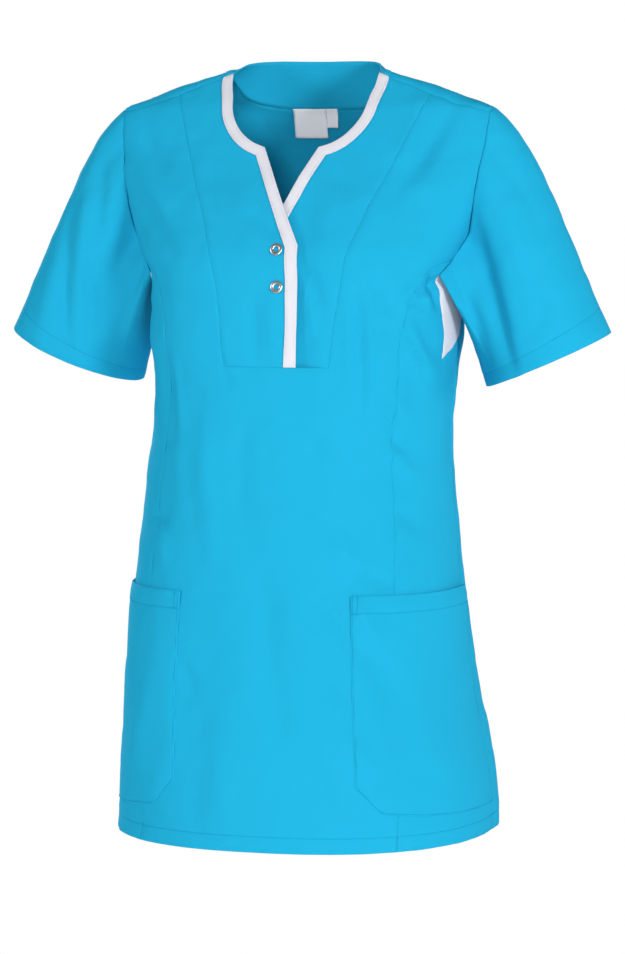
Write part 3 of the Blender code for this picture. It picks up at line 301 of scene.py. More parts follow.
# Section of a cloth's edge.  Columns: inset, depth as a share of the wall.
EDGE_ROUND = ((0.42, 0.0), (0.14, 0.12), (-0.09, 0.4), (-0.09, 1.0))
EDGE_SHARE = 0.3            # an inset is at most this share of the cells beside it
SEAM_DIP = 0.2              # depth of the dip at a seam
SEAM_DIP_REACH = 1.8
PUCKER = 0.26               # height of the gathers beside a seam
PUCKER_REACH = 9.0
PUCKER_WAVES = ((3.1, 0.6, 0.4), (4.7, 0.8, 2.1), (8.9, 0.9, 5.2))  # length, share, phase
STITCH_DIP = 0.3            # depth of a stitched line
STITCH_DIP_HALF = 1.3       # and its half width
STITCH = {"pitch": 3.0, "gap": 0.7, "radius": 0.22}
STITCH_BOW = (-0.08, 0.16, 0.16, -0.08)     # heights along one stitch
STITCH_SIDES = 5
TRIM_CROWN = 0.3            # how far a trim swells between its edges
TRIM_SOFT = 1.5             # and over what distance
TRIM_PUCKER, POCKET_PUCKER, EDGE_PUCKER = 0.3, 0.7, 0.5     # shares of the puckers
COLLAR_TUCK = 1.2           # how far the collar reaches into its seam
POCKET_PRESS = 0.75         # how far a pocket is pressed down at its edges
POCKET_SOFT = 6.0           # distance over which it swells up again
POCKET_STITCH = 1.5         # from a pocket's edge to its stitches
POCKET_DIP = 0.4            # depth of that line, as a share of the others
BAR = 5.5                   # from a pocket's edge to the bar across its mouth's fold
BAR_CLEAR = 1.0             # from the bar's upper end to the mouth
TRIM_STITCH = 2.0           # from a trim's edge to its stitches
TOPSTITCH = 2.6             # from a seam to the stitches beside it

SNAP_RING, SNAP_ROUND = 40, 16      # points round a snap and its ring's section
SNAP_RISE = 0.75            # half the height of the ring's section

# Finishes.  Columns: the record's slot, colour, roughness.
FINISHES = {
    "twill_turquoise": ("cloth_turquoise", (0.0115, 0.335, 0.545), 0.9),
    "twill_white": ("cloth_white", (0.60, 0.60, 0.65), 0.9),
    "thread_turquoise": ("cloth_turquoise", (0.006, 0.24, 0.43), 0.7),
    "thread_white": ("cloth_white", (0.60, 0.60, 0.64), 0.7),
    "snap_metal_satin": ("snap_metal", (0.50, 0.47, 0.47), 0.32),
    "tag_satin": ("label_white", (0.96, 0.96, 0.98), 0.5),
    "floor_white": ("", (0.95, 0.95, 0.95), 0.9),
}
TAPE_SHEEN, SHEEN_ROUGH = 0.1, 0.45
CLOTH_GLOSS, METAL_GLOSS = 0.03, 0.5
# Textures: those of cloth by centimetres of cloth, the others by metres of space.
RIBS = {"Scale": 4.5, "Distortion": 1.2}
SLUBS = {"Scale": 9.0, "Detail": 3.0, "Roughness": 0.6}
CLOUDS = {"Scale": 9.0, "Detail": 4.0, "Roughness": 0.55}
TAPE_RIBS = {"Scale": 5.0}
SCRATCHES = {"Scale": 900.0, "Detail": 2.0}
# Their bumps.  Columns: strength, depth in metres.
RIB_BUMP, SLUB_BUMP = (0.35, 0.00012), (0.5, 0.0002)
TAPE_BUMP, SCRATCH_BUMP = (0.3, 0.0001), (0.15, 0.0001)

AMBIENT = 0.25              # light from all round, as a share of the white background
# Lights.  Columns: name, place, aim, size, watts.
LIGHTS = (
    ("key", (2.7, -2.1, 0.4), (0.0, 0.0, -0.3), 0.8, 75.0),
    ("front", (0.75, -3.6, 0.1), (0.0, 0.0, -0.3), 0.9, 60.0),
    ("left_fill", (-3.0, -1.8, 0.8), (0.0, 0.0, -0.3), 1.2, 50.0),
    ("rear", (-2.1, 2.8, 1.0), (0.0, 0.0, -0.35), 1.0, 120.0),
    ("rear_fill", (2.2, 2.6, 0.4), (0.0, 0.0, -0.35), 1.4, 40.0),
)
FLOOR_Z = -1.45             # the wearer's feet, with the neck point at 1.45 m
FLOOR_RADIUS = 2.3
FLOOR_SIDES = 96
CAMERA = {"azimuth": 16.0, "distance": 4.0, "z": -0.060, "aim_z": -0.399,
          "aim_right": 0.0045, "height": 0.954, "sensor": 36.0}


# ------------------------------------------------------------ curves and tables
def unit(vectors):
    """The same directions, with length 1."""
    return vectors / np.linalg.norm(vectors, axis=-1, keepdims=True)


def run_along(points):
    """Length along a line of points, up to each of them."""
    return np.concatenate([[0], np.cumsum(np.linalg.norm(np.diff(points, axis=0), axis=1))])


def picked(points, length, at):
    """Points of a line at the lengths `at` along it."""
    return np.stack([np.interp(at, length, column) for column in points.T], -1)


def paired(first, second):
    """Rows of two coordinates, either of which may be one value for all."""
    return np.stack(np.broadcast_arrays(first, second), -1)


def between(a, b, t):
    """From a to b as t goes from 0 to 1."""
    return (1 - t) * a + t * b


def step(t):
    """Smooth step from 0 to 1 as t goes from 0 to 1."""
    t = np.clip(t, 0.0, 1.0)
    return t * t * (3 - 2 * t)


def ramp(value, first, last):
    """Smooth step from 0 to 1 as the value goes from first to last."""
    return step((value - first) / (last - first))


def turns(count):
    """Angles that part a full turn evenly."""
    return np.linspace(0, 2 * np.pi, count, endpoint=False)


def table_slopes(x, y):
    """Slopes of a smooth curve through a table that never overshoots its rows."""
    step = np.diff(x)
    rise = np.diff(y) / step
    slope = np.zeros(len(x))
    slope[0], slope[-1] = rise[0], rise[-1]
    for i in range(1, len(x) - 1):
        if rise[i - 1] * rise[i] > 0:
            before = 2 * step[i] + step[i - 1]
            after = step[i] + 2 * step[i - 1]
            slope[i] = (before + after) / (before / rise[i - 1] + after / rise[i])
    return slope


def through(x, y, at):
    """Value at `at` of the smooth curve through the rows (x, y), x rising."""
    at = np.clip(at, x[0], x[-1])
    i = np.clip(np.searchsorted(x, at, side="right") - 1, 0, len(x) - 2)
    slope = table_slopes(x, y)
    step = x[i + 1] - x[i]
    t = (at - x[i]) / step
    return ((2 * t**3 - 3 * t**2 + 1) * y[i] + (t**3 - 2 * t**2 + t) * step * slope[i]
            + (3 * t**2 - 2 * t**3) * y[i + 1] + (t**3 - t**2) * step * slope[i + 1])


def section(name, z):
    """One column of the section table at height z."""
    return through(-SECTION["z"], SECTION[name], -np.asarray(z, float))


def smooth_path(points, per_span=SPAN_POINTS):
    """Dense points of a smooth curve through the given points."""
    points = np.array(points, float)
    length = run_along(points)
    dense = np.linspace(0, length[-1], per_span * (len(points) - 1) + 1)
    return np.stack([through(length, column, dense) for column in points.T], -1)


# -------------------------------------------------------------------- body form
def angle_at(x, z, back=False):
    """Angle round the form, from the centre front, of a point at x and z."""
    share = np.clip(np.abs(x) / section("half", z), 0.0, 1.0)
    power = section("n_back" if back else "n_front", z)
    angle = np.arctan2(share, (1 - share**power)**(1 / power))
    return np.where(np.asarray(x) < 0, -1.0, 1.0) * (np.pi - angle if back else angle)


def by_half(angle, z, front, back):
    """One column of the table in the front half of the form, another behind."""
    return np.where(np.cos(angle) < 0, section(back, z), section(front, z))


def reach_at(angle, z):
    """How far the form reaches at this angle, as a share of its half sizes."""
    power = by_half(angle, z, "n_front", "n_back")
    return (np.abs(np.sin(angle))**power + np.abs(np.cos(angle))**power)**(-1 / power)


def across_at(angle, z):
    """x from the centre line of a point at this angle and height."""
    return section("half", z) * reach_at(angle, z) * np.sin(angle)


def form(angle, z):
    """Point of the smooth body form, before any fold."""
    depth = by_half(angle, z, "front", "back")
    return np.stack([section("shift", z) + across_at(angle, z),
                     -depth * reach_at(angle, z) * np.cos(angle), z], -1)


def outward(surface, angle, z):
    """Outward normal of a surface given as a function of angle and height."""
    across = surface(angle + TURN, z) - surface(angle - TURN, z)
    down = surface(angle, z - DROP) - surface(angle, z + DROP)
    return unit(np.cross(down, across))


def raised(folds, x, z, facing):
    """Height of folds at x and z, where the cloth faces their side by `facing`."""
    height = np.zeros(np.shape(x))
    for x0, z0, x1, z1, half, rise in folds:
        over, up = x1 - x0, z1 - z0
        length = np.hypot(over, up)
        along = np.clip(((x - x0) * over + (z - z0) * up) / length**2, 0.0, 1.0)
        aside = ((x - x0) * up - (z - z0) * over) / length
        height += rise * np.exp(-(aside / half)**2) * 4 * along * (1 - along)
    return height * step(facing * FOLD_FADE)


def unevenness(x, z):
    """Faint swells all over the cloth, so that it is nowhere quite flat."""
    return sum(height * np.sin(x / across + z / down + phase
                               + SWELL_BEND * np.sin(x / down - z / across + phase))
               for across, down, height, phase in SWELLS)


def fold_height(angle, z):
    """Height of the folds, creases and swells over the body form."""
    x, forward = across_at(angle, z), np.cos(angle)
    height = unevenness(x + (forward < 0) * SWELL_BACK, z)
    for side, facing in (("front", forward), ("back", -forward)):
        height += raised(FOLDS[side] + CREASES[side], x, z, facing)
    return height


def cloth(angle, z):
    """Point of the outer face of the cloth, folds included."""
    angle, z = np.asarray(angle, float), np.asarray(z, float)
    return form(angle, z) + outward(form, angle, z) * fold_height(angle, z)[..., None]


# ------------------------------------------------------- seams as angle, height
def spots(x, z, back=False):
    """(angle, z) of x and z seen from the front or from behind."""
    return paired(angle_at(x, z, back), z)


def to_view(path):
    """(angle, z) to (x, z) seen from the front."""
    return paired(across_at(path[..., 0], path[..., 1]), path[..., 1])


def spaced(path, count):
    """count + 1 points (angle, z) along a dense path, evenly spaced on the cloth."""
    path = np.array(path, float)
    length = run_along(cloth(*path.T))
    return picked(path, length, np.linspace(0, length[-1], count + 1))


def from_view(rows, back=False, straight=False):
    """Dense (angle, z) path from rows (x, z) seen from the front or from behind."""
    if straight:
        rows = np.array(rows, float)
        dense = between(rows[0], rows[-1], np.linspace(0, 1, STRAIGHT_POINTS)[:, None])
    else:
        dense = smooth_path(rows)
    return spots(*dense.T, back)


def from_angles(rows):
    """Dense (angle, z) path from rows (angle in degrees, z)."""
    return smooth_path(rows) * np.array([np.pi / 180, 1.0])


def cut_at(path, z):
    """The two halves of a path whose z falls steadily, cut at height z."""
    point = np.array([[np.interp(-z, -path[:, 1], path[:, 0]), z]])
    return (np.concatenate([path[path[:, 1] > z], point]),
            np.concatenate([point, path[path[:, 1] < z]]))


def mirrored(path):
    """The same seam on the wearer's right."""
    return path * np.array([-1.0, 1.0])


def carried_on(path):
    """The seam on the wearer's right, its angle counted on past the back."""
    return mirrored(path) + np.array([2 * np.pi, 0.0])


def ridge_z(x):
    """Height of the shoulder ridge over x, carried on over the neck opening."""
    top, z = SECTION["half"][:RIDGE_ROWS], SECTION["z"][:RIDGE_ROWS]
    x = np.abs(x)
    return np.where(x < top[0], z[0] + (top[0] - x) * RIDGE_SLOPE, through(top, z, x))


def to_roof(path):
    """(angle, z) to (x, w): w squared is the drop below the ridge, behind it w > 0."""
    x = across_at(path[..., 0], path[..., 1])
    drop = np.sqrt(np.maximum(ridge_z(x) - path[..., 1], 0.0))
    return paired(x, np.where(np.cos(path[..., 0]) < 0, drop, -drop))


def from_roof(path):
    """(x, w) back to (angle, z)."""
    x, w = path[..., 0], path[..., 1]
    z = ridge_z(x) - w**2
    return np.where(w[..., None] > 0, spots(x, z, True), spots(x, z))


def bisector(sides, least=0.0):
    """Halfway between two directions, and longer the more they differ."""
    middle = unit(sides[0] + sides[1])
    return middle / np.maximum(least, np.sum(middle * sides[0], axis=-1, keepdims=True))


def shifted(path, distance):
    """A path moved sideways over the cloth by a distance for each point."""
    moved = np.array(path, float)
    for _ in range(SHIFT_STEPS):
        place = cloth(*moved.T)
        normal = outward(form, *moved.T)
        before = np.diff(place, axis=0, prepend=2 * place[:1] - place[1:2])
        after = np.diff(place, axis=0, append=2 * place[-1:] - place[-2:-1])
        side = bisector([unit(np.cross(part, normal)) for part in (before, after)])
        slopes = np.stack([(cloth(moved[:, 0] + TURN, moved[:, 1]) - place) / TURN,
                           (cloth(moved[:, 0], moved[:, 1] + DROP) - place) / DROP], -1)
        for i, basis in enumerate(slopes):
            goal = side[i] * distance[i] / SHIFT_STEPS
            moved[i] += np.linalg.lstsq(basis, goal, rcond=None)[0]
    return moved


# ------------------------------------------------------------- patches of cells
def fill(bottom, top, left, right):
    """Grid of points between four sides; rows run upwards, columns to the right."""
    s = np.linspace(0, 1, len(bottom))[None, :, None]
    t = np.linspace(0, 1, len(left))[:, None, None]
    sides = between(bottom[None], top[None], t) + between(left[:, None], right[:, None], s)
    corners = between(between(bottom[0], bottom[-1], s), between(top[0], top[-1], s), t)
    return sides - corners


def fill_in_view(*sides):
    """As fill, worked out in the front view, for pieces that lie in front."""
    grid = fill(*(to_view(side) for side in sides))
    return spots(grid[..., 0], grid[..., 1])


def other_side(grid):
    """A patch of the wearer's left, mirrored to the right."""
    return mirrored(grid)[:, ::-1]


def numbered(rows, count):
    """Numbers of the points of a grid."""
    return np.arange(rows * count).reshape(rows, count)


def quads(index):
    """Four-sided faces of a grid of point numbers."""
    return np.stack([index[:-1, :-1], index[:-1, 1:], index[1:, 1:], index[1:, :-1]],
                    -1).reshape(-1, 4)


def tube(rows, count, closed=False):
    """Faces of rows that run round a tube, whose ends meet if it is closed."""
    return quads(np.pad(numbered(rows, count), ((0, int(closed)), (0, 1)), mode="wrap"))


# ------------------------------------------------------------------ fine meshes
def tree_of(places, index):
    """Search tree of the places with these numbers."""
    tree = kdtree.KDTree(len(index))
    for k in index:
        tree.insert(places[k], k)
    tree.balance()
    return tree


def weld(patches):
    """Points (angle, z), their places and the faces of patches that share edges."""
    points = np.concatenate([grid.reshape(-1, 2) for grid in patches])
    places = cloth(*points.T)
    tree = tree_of(places, range(len(places)))
    same = np.arange(len(places))
    faces, start = [], 0
    for grid in patches:
        index = start + numbered(*grid.shape[:2])
        start += index.size
        for k in np.concatenate([index[0], index[-1], index[:, 0], index[:, -1]]):
            same[k] = min(found[1] for found in tree.find_range(places[k], SAME_POINT))
        faces.append(quads(index))
    kept, index = np.unique(same, return_inverse=True)
    cells = []
    for face in index[np.concatenate(faces)].tolist():
        corners = [c for k, c in enumerate(face) if c != face[k - 1]]
        if len(corners) > 2:
            cells.append(corners)
    return points[kept], places[kept], cells


def rim_of(faces):
    """For each rim point the next one along the rim."""
    edges = {(face[k - 1], face[k]) for face in faces for k in range(len(face))}
    return {a: b for a, b in edges if (b, a) not in edges}


def rim_frame(places, normals, ahead):
    """Inward directions, cell sizes and lengths along the rim, by rim point."""
    behind = {b: a for a, b in ahead.items()}
    rim, left = {}, set(ahead)
    while left:
        here, run = min(left), 0.0
        while here in left:
            left.discard(here)
            sides = [places[here] - places[behind[here]], places[ahead[here]] - places[here]]
            sizes = [float(np.linalg.norm(side)) for side in sides]
            inward = [unit(np.cross(normals[here], side)) for side in sides]
            rim[here] = (bisector(inward, MITRE_LEAST), min(sizes), run)
            run += sizes[1]
            here = ahead[here]
    return rim


def from_rim(places, normals, faces):
    """Distance of each point to the rim, and how far along the rim that is."""
    rim = rim_frame(places, normals, rim_of(faces))
    tree = tree_of(places, sorted(rim))
    near = [tree.find(place)[1:] for place in places]
    return np.array([gap for _, gap in near]), np.array([rim[k][2] for k, _ in near])


def add(name, points, cells, material):
    """A new piece on the one body, from points in millimetres."""
    mesh = bpy.data.meshes.new(name)
    mesh.from_pydata((points * MM).tolist(), [], cells)
    mesh.materials.append(material)
    mesh.shade_smooth()
    piece = placed(name, mesh)
    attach(piece, "root")
    return piece


def shell(node, places, normals, relief, wall, faces, weave, material):
    """Closed wall of cloth in place of a node, with rounded edges.

    relief gives a fine height by distance to the rim and way along it, and weave
    gives the weave's coordinates in millimetres by place.
    """
    places = places + normals * relief(*from_rim(places, normals, faces))[:, None]
    uv = weave(places)
    ahead = rim_of(faces)
    rim = rim_frame(places, normals, ahead)
    index = sorted(rim)
    inward = np.array([rim[k][0] for k in index])
    size = np.array([rim[k][1] for k in index])
    layers = []
    for inset, depth in EDGE_ROUND:
        move = np.minimum(inset, EDGE_SHARE * size)[:, None] * inward
        layers.append(places[index] + move - normals[index] * (wall[index] * depth)[:, None])
    outer, inner = places.copy(), places - normals * wall[:, None]
    outer[index], inner[index] = layers[0], layers[-1]
    points = np.concatenate([outer, inner] + layers[1:-1])
    coords = np.concatenate([uv, uv] + [uv[index]] * (len(layers) - 2))
    count = len(places)
    rings = [index, *(2 * count + numbered(len(layers) - 2, len(index))).tolist(),
             [k + count for k in index]]
    cells = faces + [[k + count for k in face[::-1]] for face in faces]
    order = {k: i for i, k in enumerate(index)}
    for a, b in ahead.items():
        i, j = order[a], order[b]
        cells += [(upper[j], upper[i], lower[i], lower[j])
                  for upper, lower in zip(rings, rings[1:])]
    piece = add(node + "_cloth", points, cells, material)
    mesh = piece.data
    corner = np.zeros(len(mesh.loops), int)
    mesh.loops.foreach_get("vertex_index", corner)
    mesh.uv_layers.new(name="weave").data.foreach_set("uv", (coords[corner] * CM).ravel())
    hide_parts(node)
    return piece


# -------------------------------------------------------------- walls and relief
def level(value):
    """One height or thickness all over a piece."""
    return lambda first, second: np.full(len(second), value)


def groove(across):
    """Depth of a stitched line at a distance across it."""
    return -STITCH_DIP * np.exp(-(np.asarray(across) / STITCH_DIP_HALF)**2)


def puckers(gap, run, share=1.0):
    """Small gathers beside a stitched seam."""
    wave = sum(part * np.sin(run / length + phase) for length, part, phase in PUCKER_WAVES)
    return share * PUCKER * wave * np.exp(-(gap / PUCKER_REACH)**2)


def seam_relief(gap, run):
    """A panel dips and gathers where it is sewn."""
    return puckers(gap, run) - SEAM_DIP * np.exp(-(gap / SEAM_DIP_REACH)**2)


def trim_relief(gap, run):
    """A trim is folded over, so it swells between its edges."""
    return (TRIM_CROWN * (1 - np.exp(-gap / TRIM_SOFT)) + groove(gap - TRIM_STITCH)
            + puckers(gap, run, TRIM_PUCKER))


def pocket_swell(gap):
    """A pocket is pressed flat at its edges and swells softly away from them."""
    return -POCKET_PRESS * np.exp(-gap / POCKET_SOFT)


def pocket_relief(gap, run):
    """The swell of a pocket, with its stitched line."""
    return (pocket_swell(gap) + POCKET_DIP * groove(gap - POCKET_STITCH)
            + puckers(gap, run, POCKET_PUCKER))


def hem_wall(angle, z):
    """Thickness of a body panel: doubled along the folded hem."""
    return CLOTH + (HEM_CLOTH - CLOTH) * step((HEM_Z + HEM_BAND - z) / FOLD_SOFT + 0.5)


def body_hem(angle, z):
    """Dip of the line that the hem is stitched along."""
    return groove(z - HEM_Z - HEM_BAND)


def pocket_wall(angle, z):
    """Thickness of a pocket: greater along its folded mouth."""
    return CLOTH + POCKET_MOUTH_CLOTH * step((z - POCKET_FOLD_Z) / FOLD_SOFT + 0.5)


def pocket_lift(angle, z):
    """Height of a pocket over its panel: it stands out towards its outer corner."""
    mouth = step((z - POCKET_TOP_Z) / POCKET_PROUD_DEEP + 1)
    corner = ramp(np.degrees(np.abs(angle)), *POCKET_PROUD_TURN)
    return (SEAM_GAP + pocket_wall(angle, z) + groove(z - POCKET_FOLD_Z)
            + POCKET_MOUTH_PROUD * mouth * between(POCKET_PROUD_INNER, 1.0, corner))


def under_drop(angle, z):
    """How far the left front sinks to pass under the right one."""
    edge = OVERLAP_EDGE
    beside = 1 - step((across_at(angle, z) - edge["x"]) / edge["width"])
    return -OVERLAP_DROP * beside * (1 - step((z - edge["z"]) / edge["width"]))


def girth(angle, z):
    """Distance round the body from the centre front, for the weave."""
    share = np.sin(np.clip(np.abs(angle), 0, np.pi) / 2)
    reach = section("half", z) + by_half(angle, z, "front", "back")
    return np.sign(angle) * reach * share * GIRTH_SHARE


def panel(node, patches, material, lift=level(0.0), thickness=hem_wall, relief=seam_relief):
    """A node's piece of cloth on the body form."""
    points, places, faces = weld(patches)
    angle, z = points.T
    normals = outward(cloth, angle, z)
    outer = places + normals * lift(angle, z)[:, None]
    return shell(node, outer, normals, relief, thickness(angle, z), faces,
                 lambda _: paired(girth(angle, z), z), material)


def both_panels(name, patches, material, *how):
    """A piece of the wearer's left and its mirror image."""
    panel(name + "_left", patches, material, *how)
    panel(name + "_right", [other_side(grid) for grid in patches], material, *how)


# ----------------------------------------------------------------- seam network
def seams():
    """Every seam of the wearer's left half, as evenly spaced (angle, z) points."""
    n = CELLS
    shoulder = from_view(SHOULDER_SEAM)
    x = to_view(shoulder)[:, 0]
    at_bib, at_trim = (int(np.argmin(abs(x - end))) for end in (BIB_SEAM[0][0], NECK_POINT_X))
    bib = from_view(BIB_SEAM)
    bib[0] = shoulder[at_bib]
    beside = n["gusset_front"] + n["front_foot"]
    side_up, side_down = cut_at(from_view(SIDE_FRONT_SEAM), BASE_Z)
    foot = from_view(ARMHOLE_FRONT_FOOT)
    back_foot = from_view(ARMHOLE_BACK_FOOT, back=True)
    fore, rear = ((np.degrees(angle), z) for angle, z in (foot[-1], back_foot[0]))
    s = {name: spaced(path, count) for name, path, count in (
        ("shoulder_out", shoulder[:at_bib + 1], n["arm"]),
        ("shoulder_in", shoulder[at_bib:at_trim + 1], n["shoulder_in"]),
        ("bib", bib, beside + n["armhole_front"]),
        ("side_up", side_up, beside),
        ("armhole_front", from_view(ARMHOLE_FRONT), n["armhole_front"]),
        ("armhole_front_foot", foot, n["front_foot"]),
        ("armhole_back_foot", back_foot, n["armhole_foot"]),
        ("underarm", from_angles((fore, *UNDERARM, rear)), n["gusset_top"]),
        ("gusset_front", from_angles((*GUSSET_FRONT, fore)), n["gusset_front"]),
        ("gusset_flank", from_angles((GUSSET_TIP, GUSSET_BACK[0])), n["flank"]),
        ("gusset_back", from_angles((*GUSSET_BACK, rear)), n["gusset_side"]),
    )}
    s["side_down_path"] = side_down
    edge = [spaced(from_view(NECKLINE), n["neckline"])]
    for name, ends in (("notch", (NECK_CORNER, PLACKET_TOP)),
                       ("placket", (PLACKET_TOP, PLACKET_FOOT))):
        edge.append(spaced(from_view(ends, straight=True), n[name])[1:])
    s["edge"] = np.concatenate(edge)
    wide = ramp(s["edge"][:, 1], *TRIM_WIDEN)
    s["trim"] = shifted(s["edge"], -between(NECK_TRIM, TRIM_WIDTH, wide))
    s["trim"][0] = s["shoulder_in"][-1]
    s["trim"][-1, 1] = BASE_Z
    arm = to_roof(from_view(ARMHOLE_BACK, back=True))
    over = smooth_path((arm[-1], (SHOULDER_TIP_X, 0.0), to_roof(s["shoulder_out"][:1])[0]))
    s["armhole_back"] = spaced(from_roof(np.concatenate([arm, over[1:]])), n["armhole_back"])
    start = to_roof(s["shoulder_in"][-1:])
    down = to_roof(from_view(BACK_NECK, back=True)[::NECK_THIN])
    neck = smooth_path(np.concatenate([start, [(NECK_POINT_X, 0.0)], down]), NECK_SPAN)
    s["neck"] = spaced(from_roof(neck), n["neck"])
    return s


def pocket_foot_z(x):
    """Height of a pocket's bottom edge over x."""
    rows = np.array(POCKET_FOOT)
    return np.interp(np.abs(x), rows[:, 0], rows[:, 1])


def spread(stops, counts):
    """Values between stops in a given number of cells, close together at the stops."""
    values = [np.array([stops[0]])]
    for k, (low, high, count) in enumerate(zip(stops, stops[1:], counts)):
        first = low + (STITCH_DIP_HALF if k else (high - low) / count)
        last = high - (STITCH_DIP_HALF if k < len(counts) - 1 else (high - low) / count)
        values += [np.linspace(first, last, count), np.array([high])]
    return np.concatenate(values)


def lower_rows(top_z, foot_z):
    """Heights of the rows below the bib, from the hem up to top_z."""
    stops = (HEM_Z, HEM_Z + HEM_BAND, foot_z, POCKET_FOLD_Z, POCKET_TOP_Z, top_z)
    return spread(stops, LOWER_CELLS)


def lower_block(left, right, count, top_left, top_right):
    """Cells from the hem up, between two column lines given as functions of z.

    The top row runs straight from top_left to top_right, and one row follows the
    bottom edge of the pocket.
    """
    columns = []
    for share in np.arange(count + 1) / count:
        low = between(left(POCKET_FOOT_Z), right(POCKET_FOOT_Z), share)
        foot = pocket_foot_z(across_at(low, POCKET_FOOT_Z))
        z = lower_rows(between(top_left, top_right, share), foot)
        columns.append(paired(between(left(z), right(z), share), z))
    return np.stack(columns, 1)


def column_line(path):
    """Angle as a function of z along a path whose z falls steadily."""
    return lambda z: np.interp(-np.asarray(z), -path[:, 1], path[:, 0])


# --------------------------------------------------------------- pieces of cloth
def lower_patches(s):
    """The patches of the wearer's left half below the bib, and the middle one."""
    inner = column_line(from_view(POCKET_INNER))
    side = column_line(s["side_down_path"])
    ends = np.radians([HEM_TURN, GUSSET_TIP[0]])
    turn = lambda z: between(*ends, (z - HEM_Z) / (GUSSET_TIP[1] - HEM_Z))
    blocks = (("centre", lambda z: -inner(z), inner, BASE_Z, BASE_Z),
              ("arm", inner, side, BASE_Z, BASE_Z),
              ("side", side, turn, BASE_Z, GUSSET_TIP[1]),
              ("flank", turn, lambda z: np.pi / 2, GUSSET_TIP[1], GUSSET_SIDE_Z))
    return {name: lower_block(left, right, CELLS[name], *tops)
            for name, left, right, *tops in blocks}


def front_patches(s, low):
    """The main front: below the bib, and up to the shoulder on both sides of it."""
    right_side = np.concatenate([s["side_up"][::-1], s["armhole_front"][1:]])
    arm = fill_in_view(low["arm"][-1], s["shoulder_out"][::-1], s["bib"][::-1], right_side)
    return [low["centre"], low["arm"], other_side(low["arm"]), arm, other_side(arm)]


def bib_patches(s):
    """Bib of the wearer's left: the field up to the trim, and the trim's own strip."""
    t = np.linspace(0, 1, CELLS["shoulder_in"] + 1)[:, None]
    edge, trim, bib = (s[name][::-1] for name in ("edge", "trim", "bib"))
    field = fill_in_view(between(trim[0], bib[0], t), s["shoulder_in"][::-1], trim, bib)
    return field, between(edge[:, None], trim[:, None], np.array(TRIM_COLUMNS)[:, None])


def side_patches(s, low):
    """The side panel: below, under the gusset, and its peak at the armhole."""
    flank = low["flank"].copy()
    flank[-1] = s["gusset_flank"]
    peak = np.repeat(s["side_up"][:1], CELLS["side"] + 1, axis=0)
    rear = np.concatenate([s["gusset_front"], s["armhole_front_foot"][::-1][1:]])
    return [low["side"], flank, fill(low["side"][-1], peak, s["side_up"][::-1], rear)]


def gusset_patch(s):
    """The gusset, from its tip up to the underarm."""
    tip = np.repeat(s["gusset_front"][:1], CELLS["gusset_top"] + 1, axis=0)
    rear = np.concatenate([s["gusset_flank"], s["gusset_back"][1:]])
    return fill(tip, s["underarm"], s["gusset_front"], rear)


def both_halves(half):
    """A row from the left edge to the centre back, carried on to the right edge."""
    return np.concatenate([half, carried_on(half)[::-1][1:]])


def back_patches(s):
    """The back, from the wearer's left to the right: below, across and yoke."""
    outer = CELLS["arm"] + CELLS["shoulder_in"]
    foot = pocket_foot_z(across_at(np.pi / 2, POCKET_FOOT_Z))
    turn = np.linspace(np.pi / 2, np.pi, BACK_POINTS)
    low = np.stack([both_halves(spaced(paired(turn, z), outer + CELLS["neck"]))
                    for z in lower_rows(GUSSET_SIDE_Z, foot)])
    x = np.concatenate([np.linspace(ARMHOLE_BACK[0][0], YOKE_NECK_X, outer + 1),
                        np.linspace(YOKE_NECK_X, 0, CELLS["neck"] + 1)[1:]])
    yoke = spots(x, YOKE_Z, True)
    yoke[0] = s["armhole_back_foot"][-1]
    yoke[-1, 0] = np.pi
    left = np.concatenate([s["gusset_back"], s["armhole_back_foot"][1:]])
    across = fill(low[-1], both_halves(yoke), left, carried_on(left))
    top = np.concatenate([s["shoulder_out"], s["shoulder_in"][1:], s["neck"][1:]])
    sides = [to_roof(part) for part in (yoke, top, s["armhole_back"])]
    middle = np.linspace(sides[0][-1], sides[1][-1], len(s["armhole_back"]))
    upper = from_roof(fill(*sides, middle))
    upper[:, -1, 0] = np.pi
    return [low, across, upper, carried_on(upper)[:, ::-1]]


def make_body(s, turquoise, white):
    """All the pieces that lie on the body form."""
    low = lower_patches(s)
    panel("front", front_patches(s, low), turquoise, body_hem)
    both_panels("side_front", side_patches(s, low), turquoise, body_hem)
    panel("back", back_patches(s), turquoise, body_hem)
    both_panels("gusset", [gusset_patch(s)], white)
    field, strip = bib_patches(s)
    panel("bib_left", [field, strip], turquoise, under_drop)
    panel("bib_right", [other_side(field), other_side(strip)], turquoise)
    on_left = lambda angle, z: SEAM_GAP + TRIM_CLOTH + under_drop(angle, z)
    how = level(TRIM_CLOTH), trim_relief
    panel("trim_right", [other_side(strip)], white, level(SEAM_GAP + TRIM_CLOTH), *how)
    panel("trim_left", [strip], white, on_left, *how)
    first, last = POCKET_ROWS
    blocks = [low[name][first:last + 1] for name in ("arm", "side", "flank")]
    both_panels("pocket", blocks, turquoise, pocket_lift, pocket_wall, pocket_relief)
    return low


